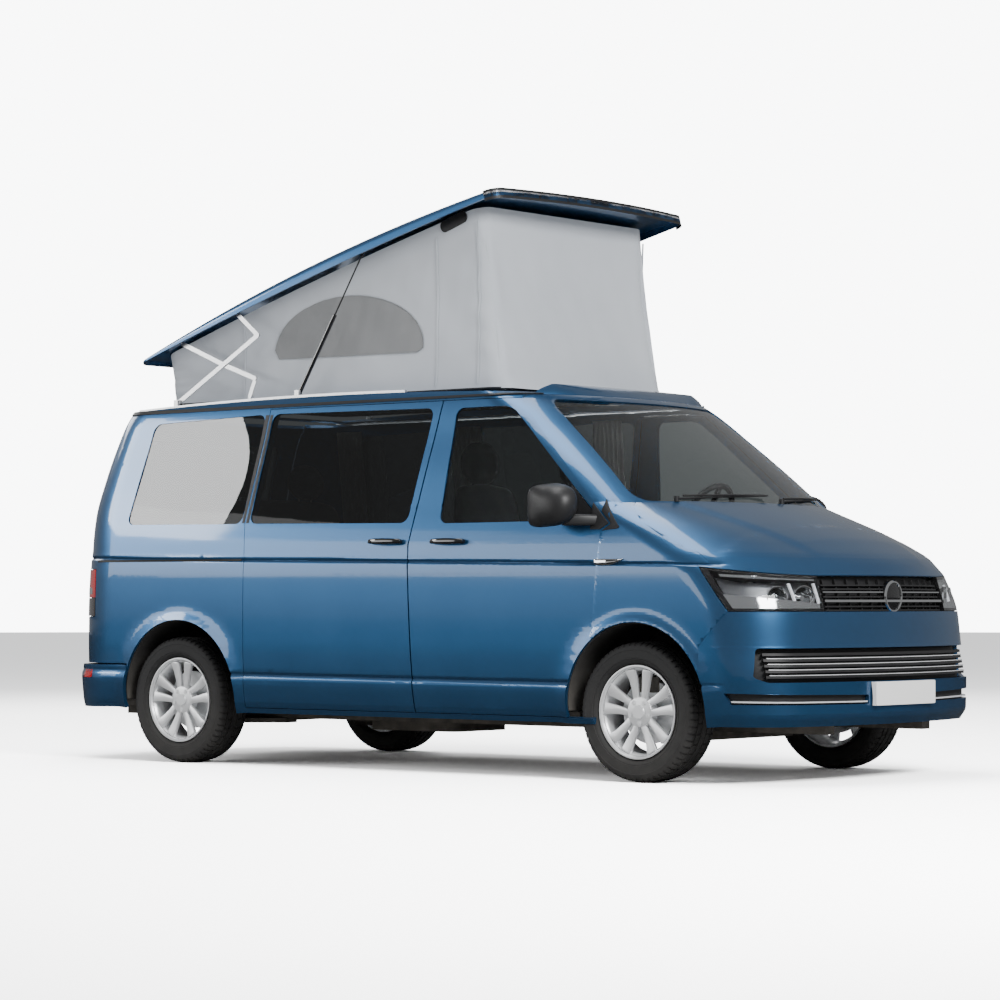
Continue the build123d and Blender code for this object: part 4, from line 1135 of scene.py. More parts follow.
class Glazing:
    """Window panes with black printed borders and the frames behind them."""

    inset = 0.0006
    pane_top = 0.005
    pane_low = 0.0095
    border = 0.028

    def __init__(self) -> None:
        """Build every pane."""
        for name, side in SIDES.items():
            self.pane(f"quarter_pane_{name}", QUARTER_WINDOW, side, "body", self.border)
            self.pane(f"door_pane_{name}", FRONT_WINDOW, side, f"front_door_{name}", 0.012)
        self.pane("middle_pane_left", MIDDLE_WINDOW, 1.0, "body", self.border)
        self.pane("middle_pane_right", MIDDLE_WINDOW, -1.0, "body", self.border)
        self.cross_pane("windscreen_pane", WINDSCREEN, 0.06, 0.035, End.NOSE, CLEAR_GLASS, None, "body",
                        "windscreen")
        self.cross_pane("rear_pane", TAILGATE_WINDOW, 0.05, 0.04, End.TAIL, PRIVACY_GLASS, 0, "tailgate",
                        "tailgate_glass")

    def glaze(self, name: str, plate: SkinPlate, ring: SkinPlate, look: Finish, edge_look: Finish, rim: float,
              fair: int | None, body: str, *nodes: str) -> None:
        """Build a pane and its printed border.

        Args:
            name: Name of the pane.
            plate: The pane's plate.
            ring: The border's plate.
            look: Finish of the glass.
            edge_look: Finish of the border.
            rim: Rounding of the border.
            fair: Axis along which the pane is evened out.
            body: Body that both ride on.
            nodes: Nodes that the pane replaces.
        """
        glass = finish(plate.build(name, self.pane_top, self.pane_low, 0.0, fair=fair), look)
        edge_name = "windscreen_border" if name == "windscreen_pane" else f"{name}_border"
        edge = finish(ring.build(edge_name, self.pane_top - 0.0005, self.pane_low + 0.002, rim), edge_look)
        fit(glass, body, "glass", *nodes)
        fit(edge, body, "black_plastic")
        log.info("%s rides on %s", name, body)

    def pane(self, name: str, outline: Sequence[Pair], side: float, body: str, border: float) -> None:
        """One side pane and its border."""
        outer, inner = (inset_loop(rounded(outline, WINDOW_CORNER), width) for width in (self.inset, border))
        look, fair = (GLASS, None) if name.startswith("door") else (PRIVACY_GLASS, 1)
        nodes = {"door_pane_right": ["door_glass_right"], "door_pane_left": ["door_glass_left"],
                 "middle_pane_right": ["sliding_door_glass"], "quarter_pane_right": ["side_windows"]}.get(name, [])
        self.glaze(name, SkinPlate().side_loop(inner, side),
                   SkinPlate().side_loop(outer, side).side_loop(inner, side), look, BLACK_TRIM, 0.0006, fair, body,
                   *nodes)

    def cross_pane(self, name: str, outline: Sequence[Pair], corner: float, border: float, end: End,
                   look: Finish, fair: int | None, body: str, node: str) -> None:
        """Windscreen or heated rear window, across the centre line."""
        outer, inner = (inset_loop(rounded(outline, corner), width) for width in (self.inset, border))
        self.glaze(name, SkinPlate(end).front_loop(inner), SkinPlate(end).front_loop(outer).front_loop(inner), look,
                   GLOSS_BLACK, 0.0, fair, body, node)


# ------------------------------------------------------------------ pop-up roof
@dataclass
class PopTop:
    """Raised roof shell with its black lower edge and front lip."""

    pivot: Pair = (-2.646, 1.895)
    angle: float = math.radians(16.3)
    rear_x: float = -1.846
    front_x: float = 0.735
    bulge: float = 0.047
    half: float = 0.800
    corner: float = 0.07
    side_drop: float = 0.017
    rail_share: float = 0.34

    def raise_point(self, x: float, y: float, z: float) -> Vector:
        """Move a point of the closed roof to its raised place."""
        dx, dz = x - self.pivot[0], z - self.pivot[1]
        c, s = math.cos(self.angle), math.sin(self.angle)
        return Vector((self.pivot[0] + dx * c - dz * s, y, self.pivot[1] + dx * s + dz * c))

    def arc(self, x: float, points: Sequence[Pair]) -> float:
        """Height of a shallow arc through three points."""
        (x0, z0), (x1, z1), (x2, z2) = points
        a = (x - x1) * (x - x2) / ((x0 - x1) * (x0 - x2))
        b = (x - x0) * (x - x2) / ((x1 - x0) * (x1 - x2))
        c = (x - x0) * (x - x1) / ((x2 - x0) * (x2 - x1))
        return z0 * a + z1 * b + z2 * c

    def low(self, x: float) -> float:
        """Height of the closed roof's lower edge."""
        return self.arc(x, ((-1.831, 1.895), (-0.400, 1.923), (0.740, 1.896)))

    def high(self, x: float, y: float) -> float:
        """Height of the closed roof's top."""
        top = self.arc(x, ((-1.852, 1.924), (-0.480, 2.002), (0.780, 1.944)))
        return top - self.side_drop * (y / self.half) ** 2

    def plan(self, grow: float = 0.0) -> list[Pair]:
        """Plan outline of the shell."""
        front = []
        steps = 24
        for i in range(steps + 1):
            y = -self.half + 2.0 * self.half * i / steps
            front.append((self.front_x + self.bulge * (1.0 - (y / self.half) ** 2), y))
        outline = [(self.rear_x, -self.half), *front, (self.rear_x, self.half)]
        mesh = bmesh.new()
        face = flat_face(mesh, [(x, y, 0.0) for x, y in outline])
        ends = [v for v in face.verts if abs(abs(v.co.y) - self.half) < 1e-6]
        ops.bevel(mesh, geom=ends, offset=self.corner, offset_type="OFFSET", affect="VERTICES", segments=6,
                  profile=0.5, material=-1, clamp_overlap=True)
        mesh.faces.ensure_lookup_table()
        loop = [(v.co.x, v.co.y) for v in mesh.faces[0].verts]
        mesh.free()
        return inset_loop(loop, -grow) if grow else loop

    def build(self) -> None:
        """Build the shell and the lip."""
        self.shell()
        self.lip()

    def shell(self) -> None:
        """Hollow shell: crowned top, rounded rim, black lower edge and a recessed underside."""
        mesh = bmesh.new()
        face = flat_face(mesh, [(x, y, 0.0) for x, y in self.plan()])
        made = ops.extrude_face_region(mesh, geom=[face], use_keep_orig=True)["geom"]
        top = [v for v in made if isinstance(v, BMVert)]
        height = 0.06
        ops.translate(mesh, verts=top, vec=(0.0, 0.0, height))
        outward(mesh)
        rim = [e for e in mesh.edges if all(v.co.z > height - 1e-6 for v in e.verts)]
        ops.bevel(mesh, geom=rim, offset=0.03, offset_type="OFFSET", affect="EDGES", segments=6,
                  profile=0.5, material=-1, clamp_overlap=True)
        under = min(mesh.faces, key=lambda f: f.calc_center_median().z)
        ops.inset_region(mesh, faces=[under], thickness=0.0115, use_even_offset=True)
        made = ops.extrude_face_region(mesh, geom=[under])["geom"]
        ops.translate(mesh, verts=[v for v in made if isinstance(v, BMVert)],
                      vec=(0.0, 0.0, height * 0.72))
        for face in [f for f in made if isinstance(f, BMFace)]:
            for near in [face, *(f for e in face.edges for f in e.link_faces)]:
                near.material_index = 1
        ops.delete(mesh, geom=[under], context="FACES_ONLY")
        for place in [height * self.rail_share]:
            ops.bisect_plane(mesh, geom=mesh.verts[:] + mesh.edges[:] + mesh.faces[:], dist=1e-6,
                             plane_co=(0, 0, place), plane_no=(0, 0, 1))
        for i in range(-22, 10):
            ops.bisect_plane(mesh, geom=mesh.verts[:] + mesh.edges[:] + mesh.faces[:], dist=1e-6,
                             plane_co=(i * 0.083, 0, 0), plane_no=(1, 0, 0))
        for i in range(-9, 10):
            ops.bisect_plane(mesh, geom=mesh.verts[:] + mesh.edges[:] + mesh.faces[:], dist=1e-6,
                             plane_co=(0, i * 0.082, 0), plane_no=(0, 1, 0))
        ops.recalc_face_normals(mesh, faces=mesh.faces[:])
        mesh.normal_update()
        for f in mesh.faces:
            centre = f.calc_center_median()
            if centre.z < height * self.rail_share or (centre.x > 0.68 and f.normal.z < 0.75):
                f.material_index = 1
        for vert in mesh.verts:
            x, y, level = vert.co
            low = self.low(x)
            z = low + level / height * (self.high(x, y) - low)
            vert.co = self.raise_point(x, y, z)
        shell = finish(as_object("roof_cap", mesh, 35.0), PAINT, BLACK_TRIM)
        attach(shell, "pop_up_roof")
        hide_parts("roof_shell")
        log.info("roof cap built")

    def strip(self, name: str, look: Finish, slot: str, grow: float, inner: float, drop: float, rise: float,
              from_x: float, rim: float) -> Object:
        """Strip that follows the roof's front edge in plan.

        Args:
            name: Name of the piece.
            look: Its finish.
            slot: Not used.
            grow: How far it stands proud of the shell.
            inner: How far it reaches inside the shell's outline.
            drop: Distance of its underside below the roof's lower edge.
            rise: Distance of its top above the roof's lower edge.
            from_x: Rear end of the strip.
            rim: Rounding of its edges.

        Returns:
            The strip.
        """
        outer = [p for p in self.plan(grow) if p[0] > from_x]
        inside = [p for p in self.plan(-inner) if p[0] > from_x]
        outer.sort(key=lambda p: p[1])
        inside.sort(key=lambda p: p[1], reverse=True)
        mesh = bmesh.new()
        prism(mesh, [(x, y, 0.0) for x, y in outer + inside], (0.0, 0.0, drop + rise))
        outward(mesh)
        bevel_sharp(mesh, rim, 3)
        for vert in mesh.verts:
            x, y, level = vert.co
            vert.co = self.raise_point(x, y, self.low(x) - drop + level)
        obj = finish(as_object(name, mesh, 40.0), look)
        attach(obj, "pop_up_roof")
        return obj

    def lip(self) -> None:
        """Black front lip with its bright strip."""
        self.strip("roof_front_lip", BLACK_TRIM, "black_plastic", 0.012, 0.05, 0.014, 0.040, 0.56, 0.008)
        self.strip("roof_lip_strip", SATIN, "rail", 0.0155, 0.0, -0.018, 0.0265, 0.60, 0.0015)
        log.info("roof lip built")


POP_TOP = PopTop()


@dataclass
class RoofCanvas:
    """Canvas wall between the body and the raised roof, with its window and vent patches."""

    rear: float = -1.752
    front: float = 0.556
    half: float = 0.690
    corner: float = 0.09
    base: float = 1.903
    rows: int = 44
    side_sag: float = 0.016
    front_sag: float = 0.055
    keep: float = 0.03
    pieces: list[Object] = field(default_factory=list)

    def outline(self, grow: float = 0.0) -> list[Pair]:
        """Plan outline, divided finely."""
        corners = ((self.rear, -self.half), (self.front, -self.half), (self.front, self.half), (self.rear, self.half))
        loop = fine_loop(rounded(corners, self.corner, 8), 0.03)
        return loop if not grow else inset_loop(loop, -grow)

    def point(self, x: float, y: float, share: float, out: float = 0.0) -> Vector:
        """Point of the canvas above a plan place.

        Args:
            x: Plan X at the base.
            y: Plan Y at the base.
            share: 0 at the base, 1 at the roof.
            out: Distance outwards from the cloth.

        Returns:
            The point in the row frame.
        """
        low = Vector((x, y, self.base))
        high = POP_TOP.raise_point(x, y, POP_TOP.low(x) + 0.012)
        place = low.lerp(high, share)
        belly = 4.0 * share * (1.0 - share)
        height = high.z - low.z
        middle = 1.0 - (abs(y) / self.half) ** 4
        if x > self.front - 0.02:
            place.x -= self.front_sag * belly * (0.35 + 0.65 * middle)
            place.x += 0.02 * max(0.0, 1.0 - share / 0.12) ** 2
        elif x < self.rear + 0.02:
            place.x += 0.012 * belly
        inward = self.side_sag * belly * min(1.0, height / 0.5)
        if abs(y) > self.half - 0.12:
            place.y -= math.copysign(inward, y)
        wave = math.sin(x * 23.0 + share * 9.0) + 0.6 * math.sin(x * 51.0 - share * 17.0 + y * 8.0)
        wave += 0.8 * math.sin(y * 31.0 + share * 13.0)
        crease = 0.0019 * wave * belly
        edge = min(abs(x - self.front), abs(x - self.rear)) if abs(y) > self.half - 0.05 else 1.0
        crease += 0.004 * math.exp(-((edge - 0.09) / 0.05) ** 2) * math.sin(share * 34.0) * belly
        sideways = 1.0 if abs(y) > self.half - 0.03 else 0.0
        place.y += math.copysign(sideways, y) * (crease + out)
        if not sideways:
            place.x += math.copysign(1.0, x - (self.rear + self.front) / 2.0) * (crease + out)
        return place

    def build(self) -> None:
        """Build the cloth and its patches."""
        mesh = bmesh.new()
        loop = self.outline()
        verts = [mesh.verts.new(self.point(x, y, 0.0)) for x, y in loop]
        row = [mesh.edges.new((a, b)) for a, b in zip(verts, [*verts[1:], verts[0]])]
        places = dict(zip(verts, loop))
        for i in range(1, self.rows + 1):
            made = ops.extrude_edge_only(mesh, edges=row)["geom"]
            fresh = {v for v in made if isinstance(v, BMVert)}
            below = places
            places = {}
            for vert in fresh:
                partner = next(e.other_vert(vert) for e in vert.link_edges if e.other_vert(vert) in below)
                places[vert] = below[partner]
                vert.co = self.point(*places[vert], i / self.rows)
            row = [e for e in made if isinstance(e, BMEdge) and all(v in fresh for v in e.verts)]
        ops.recalc_face_normals(mesh, faces=mesh.faces[:])
        area = sum(f.calc_area() for f in mesh.faces)
        tall = max((self.point(x, y, 1.0) - self.point(x, y, 0.0)).length for x, y in loop)
        cloth = finish(as_object("roof_canvas_wall", mesh, 60.0), CANVAS)
        for side in (-1.0, 1.0):
            self.window(side)
            self.vent(side)
            self.seams(side)
        self.base_hem()
        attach(cloth, "body")
        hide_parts("canvas")
        self.fold(cloth)

    def fold(self, obj: Object) -> None:
        """Give a piece its own copy of its mesh."""
        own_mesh(obj)

    def share_at(self, x: float, z: float) -> float:
        """Share of the height that lies at Z on a side panel."""
        high = POP_TOP.raise_point(x, self.half, POP_TOP.low(x) + 0.012)
        return (z - self.base) / (high.z - self.base)

    def patch(self, name: str, outline: Sequence[Pair], side: float, out: float, look: Finish, thick: float,
              hole: Sequence[Pair] | None = None) -> Object:
        """Flat patch sewn on a side panel, from an outline in raised X and Z."""
        mesh = bmesh.new()
        edges = []
        for loop in ([outline, hole] if hole else [outline]):
            verts = [mesh.verts.new((x, z, 0.0)) for x, z in fine_loop(loop, 0.02)]
            edges += [mesh.edges.new((a, b)) for a, b in zip(verts, [*verts[1:], verts[0]])]
        ops.triangle_fill(mesh, use_beauty=True, use_dissolve=False, edges=edges, normal=(0, 0, 1))
        xs = [p[0] for p in outline]
        zs = [p[1] for p in outline]
        for low, high, normal in ((min(xs), max(xs), (1, 0, 0)), (min(zs), max(zs), (0, 1, 0))):
            for i in range(1, int((high - low) / 0.025) + 1):
                at = low + i * 0.025
                ops.bisect_plane(mesh, geom=mesh.verts[:] + mesh.edges[:] + mesh.faces[:], dist=1e-6,
                                 plane_co=(at, at, 0.0), plane_no=normal)
        made = ops.extrude_face_region(mesh, geom=mesh.faces[:], use_keep_orig=True)["geom"]
        for vert in [v for v in made if isinstance(v, BMVert)]:
            vert.co.z = thick
        for vert in mesh.verts:
            x, z, level = vert.co
            vert.co = self.on_side(x, z, side, out + level)
        ops.recalc_face_normals(mesh, faces=mesh.faces[:])
        obj = finish(as_object(name, mesh, 40.0), look)
        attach(obj, "body")
        self.fold(obj)
        self.pieces.append(obj)
        return obj

    def on_side(self, x: float, z: float, side: float, out: float) -> Vector:
        """Point of a side panel at a raised X and Z."""
        base_x = x
        for _ in range(6):
            share = self.share_at(base_x, z)
            base_x += x - self.point(base_x, side * self.half, share).x
        return self.point(base_x, side * self.half, self.share_at(base_x, z), out)

    def window(self, side: float) -> None:
        """Half-round mesh window with its sewn border."""
        outline = [(-0.983, 2.161), (-0.953, 2.112), (0.0, 2.104), (0.040, 2.127)]
        steps = 20
        for i in range(1, steps):
            angle = math.pi * i / steps
            outline.append((-0.4715 + 0.5115 * math.cos(angle), 2.144 + 0.273 * math.sin(angle)))
        name = "right" if side < 0.0 else "left"
        self.patch(f"window_mesh_{name}", outline, side, 0.0034, WINDOW_MESH, 0.0012)
        self.patch(f"window_binding_{name}", inset_loop(outline, -0.007), side, 0.0028, CANVAS, 0.0040,
                   inset_loop(outline, 0.003))

    def vent(self, side: float) -> None:
        """Small slanted vent near the front corner."""
        tilt = math.radians(18.0)
        outline = []
        steps = 24
        for i in range(steps):
            angle = 2.0 * math.pi * i / steps
            u = 0.062 * (1 if math.cos(angle) >= 0 else -1) + 0.028 * math.cos(angle)
            v = 0.030 * math.sin(angle)
            outline.append((0.248 + u * math.cos(tilt) - v * math.sin(tilt),
                            2.745 + u * math.sin(tilt) + v * math.cos(tilt)))
        name = "right" if side < 0.0 else "left"
        self.patch(f"vent_mesh_{name}", outline, side, 0.003, BLACK_TRIM, 0.002)
        self.patch(f"vent_frame_{name}", inset_loop(outline, -0.009), side, 0.0028, WINDOW_MESH, 0.005,
                   inset_loop(outline, 0.003))

    def seams(self, side: float) -> None:
        """Sewn seams down the side panels."""
        name = "right" if side < 0.0 else "left"
        for index, at in enumerate((-1.20, 0.13, 0.40)):
            top = POP_TOP.raise_point(at, side * self.half, POP_TOP.low(at)).z - 0.02
            strip = [(at - 0.005, 1.93), (at + 0.005, 1.93), (at + 0.005, top), (at - 0.005, top)]
            self.patch(f"canvas_seam_{name}_{index + 1}", strip, side, 0.0018, CANVAS, 0.0022)

    def base_hem(self) -> None:
        """Hem where the canvas meets the roof of the body."""
        mesh = bmesh.new()
        loops = []
        for out, z in ((0.006, 1.8975), (0.007, 1.9065), (0.002, 1.9085)):
            loops.append([mesh.verts.new((x, y, z)) for x, y in self.outline(out)])
        for a, b in zip(loops, loops[1:]):
            count = len(a)
            for i in range(count):
                mesh.faces.new((a[i], a[(i + 1) % count], b[(i + 1) % count], b[i]))
        ops.recalc_face_normals(mesh, faces=mesh.faces[:])
        hem = finish(as_object("canvas_hem", mesh, 30.0), BLACK_TRIM)
        hem.modifiers.new("wall", "SOLIDIFY").thickness = 0.0015
        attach(hem, "body")
        self.pieces.append(hem)


# ------------------------------------------------------------------ wheels
@dataclass
class Wheel:
    """Tyre, alloy rim and brake disc of one wheel, made about its own centre and then placed."""

    centre_z: float = 0.330
    track_half: float = 0.814
    steps: int = 240
    spokes: int = 5
    tread_groove: float = 0.007

    def tyre_profile(self) -> list[Pair]:
        """Half section of the tyre: distance across and radius, from bead to bead."""
        side = [(0.0786, 0.2048), (0.0790, 0.2225), (0.0900, 0.2290), (0.1010, 0.2390), (0.1040, 0.2470),
                (0.1032, 0.2500), (0.1062, 0.2520), (0.1072, 0.2720), (0.1066, 0.2900), (0.1080, 0.2920),
                (0.1050, 0.3020), (0.1010, 0.3110), (0.0950, 0.3190), (0.0860, 0.3245), (0.0780, 0.3265)]
        tread = []
        for centre in (0.058, 0.020):
            tread += [(centre + 0.0045, 0.3290), (centre + 0.0035, 0.3290 - self.tread_groove),
                      (centre - 0.0035, 0.3290 - self.tread_groove), (centre - 0.0045, 0.3294)]
        half = side + tread
        return half + [(-y, r) for y, r in reversed(half)]

    def place(self, mesh: BMesh, axle_x: float, side: float) -> None:
        """Turn the outer face to its side and move the wheel to its axle."""
        if side > 0.0:
            ops.rotate(mesh, verts=mesh.verts[:], cent=(0, 0, 0), matrix=Matrix.Rotation(math.pi, 3, "Z"))
        ops.translate(mesh, verts=mesh.verts[:], vec=(axle_x, side * self.track_half, self.centre_z))

    def tyre(self, name: str, axle_x: float, side: float) -> Object:
        """Tyre with circumferential grooves and cut shoulder blocks."""
        mesh = bmesh.new()
        verts = [mesh.verts.new((0.0, y, r)) for y, r in self.tyre_profile()]
        edges = [mesh.edges.new((a, b)) for a, b in zip(verts, [*verts[1:], verts[0]])]
        ops.spin(mesh, geom=verts + edges, cent=(0, 0, 0), axis=(0, 1, 0), angle=2.0 * math.pi,
                 steps=self.steps, use_merge=True, use_duplicate=False)
        outward(mesh)
        shoulder, centre = [], []
        for face in mesh.faces:
            middle = face.calc_center_median()
            radius = math.hypot(middle.x, middle.z)
            slot = int(math.degrees(math.atan2(middle.z, middle.x)) % 360.0 / 360.0 * self.steps)
            if abs(middle.y) > 0.062 and radius > 0.3135 and slot % 4 == 0:
                shoulder.append(face)
            elif 0.026 < abs(middle.y) < 0.053 and radius > 0.328 and slot % 6 == 0:
                centre.append(face)
        for group in (shoulder, centre):
            made = ops.extrude_face_region(mesh, geom=group)["geom"]
            for vert in [v for v in made if isinstance(v, BMVert)]:
                radius = math.hypot(vert.co.x, vert.co.z)
                share = (radius - 0.0055) / radius
                vert.co.x *= share
                vert.co.z *= share
            ops.delete(mesh, geom=group, context="FACES_ONLY")
        ops.recalc_face_normals(mesh, faces=mesh.faces[:])
        self.place(mesh, axle_x, side)
        return finish(as_object(f"road_tyre_{name}", mesh, 28.0), RUBBER)

    def rim(self, name: str, axle_x: float, side: float) -> Object:
        """Alloy rim with twin flat spokes, bolts, cap, and the brake disc behind it."""
        mesh = bmesh.new()
        barrel = [(-0.0930, 0.2205), (-0.0932, 0.2150), (-0.0900, 0.2110), (-0.0820, 0.2080), (-0.0700, 0.2010),
                  (-0.0600, 0.1950), (0.0500, 0.1930), (0.0800, 0.2070), (0.0920, 0.2120), (0.0920, 0.2205),
                  (0.0840, 0.2205), (0.0786, 0.2042), (-0.0780, 0.2042), (-0.0830, 0.2205)]
        verts = [mesh.verts.new((0.0, y, r)) for y, r in barrel]
        edges = [mesh.edges.new((a, b)) for a, b in zip(verts, [*verts[1:], verts[0]])]
        ops.spin(mesh, geom=verts + edges, cent=(0, 0, 0), axis=(0, 1, 0), angle=2.0 * math.pi, steps=96,
                 use_merge=True, use_duplicate=False)
        outward(mesh)
        for index in range(self.spokes):
            turn = Matrix.Rotation(2.0 * math.pi * index / self.spokes, 3, "Y")
            for lean in (-1.0, 1.0):
                blade = bmesh.new()
                outline = [(0.010, 0.030), (0.034, 0.048), (0.046, 0.100), (0.060, 0.150), (0.078, 0.192),
                           (0.030, 0.200), (0.019, 0.192), (0.013, 0.130), (0.010, 0.085)]
                prism(blade, [(lean * u, 0.0, r) for u, r in outline], (0.0, 0.020, 0.0))
                outward(blade)
                bevel_sharp(blade, 0.0035, 3)
                for vert in blade.verts:
                    radius = math.hypot(vert.co.x, vert.co.z)
                    vert.co.y += -0.0800 + 0.010 * (1.0 - (radius - 0.10) ** 2 / 0.01) * (radius > 0.0)
                    vert.co.y = max(vert.co.y, -0.0915)
                ops.rotate(blade, verts=blade.verts[:], cent=(0, 0, 0), matrix=turn)
                spare = bpy.data.meshes.new("spoke")
                blade.to_mesh(spare)
                blade.free()
                mesh.from_mesh(spare)
                bpy.data.meshes.remove(spare)
        fresh = bmesh.new()
        hub = add_rod(fresh, (0, -0.074, 0), (0, -0.030, 0), 0.070, 64, 0.078)
        bevel_sharp(fresh, 0.004, 3)
        cap = add_rod(fresh, (0, -0.083, 0), (0, -0.073, 0), 0.0305, 48, 0.033)
        for bolt in range(5):
            angle = math.radians(72.0 * bolt + 36.0)
            at = Vector((0.052 * math.sin(angle), 0.0, 0.052 * math.cos(angle)))
            ring = add_rod(fresh, at + Vector((0, -0.0752, 0)), at + Vector((0, -0.070, 0)), 0.0125, 24)
            head = add_rod(fresh, at + Vector((0, -0.0785, 0)), at + Vector((0, -0.070, 0)), 0.0085, 6)
            for vert in ring:
                for face in vert.link_faces:
                    face.material_index = 1
            del head
        disc = add_rod(fresh, (0, 0.004, 0), (0, 0.028, 0), 0.150, 64)
        for vert in disc:
            for face in vert.link_faces:
                face.material_index = 2
        del hub, cap
        spare = bpy.data.meshes.new("hub")
        fresh.to_mesh(spare)
        fresh.free()
        mesh.from_mesh(spare)
        bpy.data.meshes.remove(spare)
        self.place(mesh, axle_x, side)
        return finish(as_object(f"alloy_rim_{name}", mesh, 30.0), ALLOY, BLACK_TRIM, CAST_IRON)

    def build(self) -> None:
        """Build all four wheels."""
        for end, axle_x in (("front", 1.544), ("rear", -1.456)):
            for name, side in SIDES.items():
                corner = f"{end}_{name}"
                tyre = self.tyre(corner, axle_x, side)
                rim = self.rim(corner, axle_x, side)
                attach(tyre, f"wheel_{corner}")
                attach(rim, f"wheel_{corner}")
                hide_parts(f"tyre_{corner}")
                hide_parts(f"rim_{corner}")
                log.info("wheel %s built", corner)


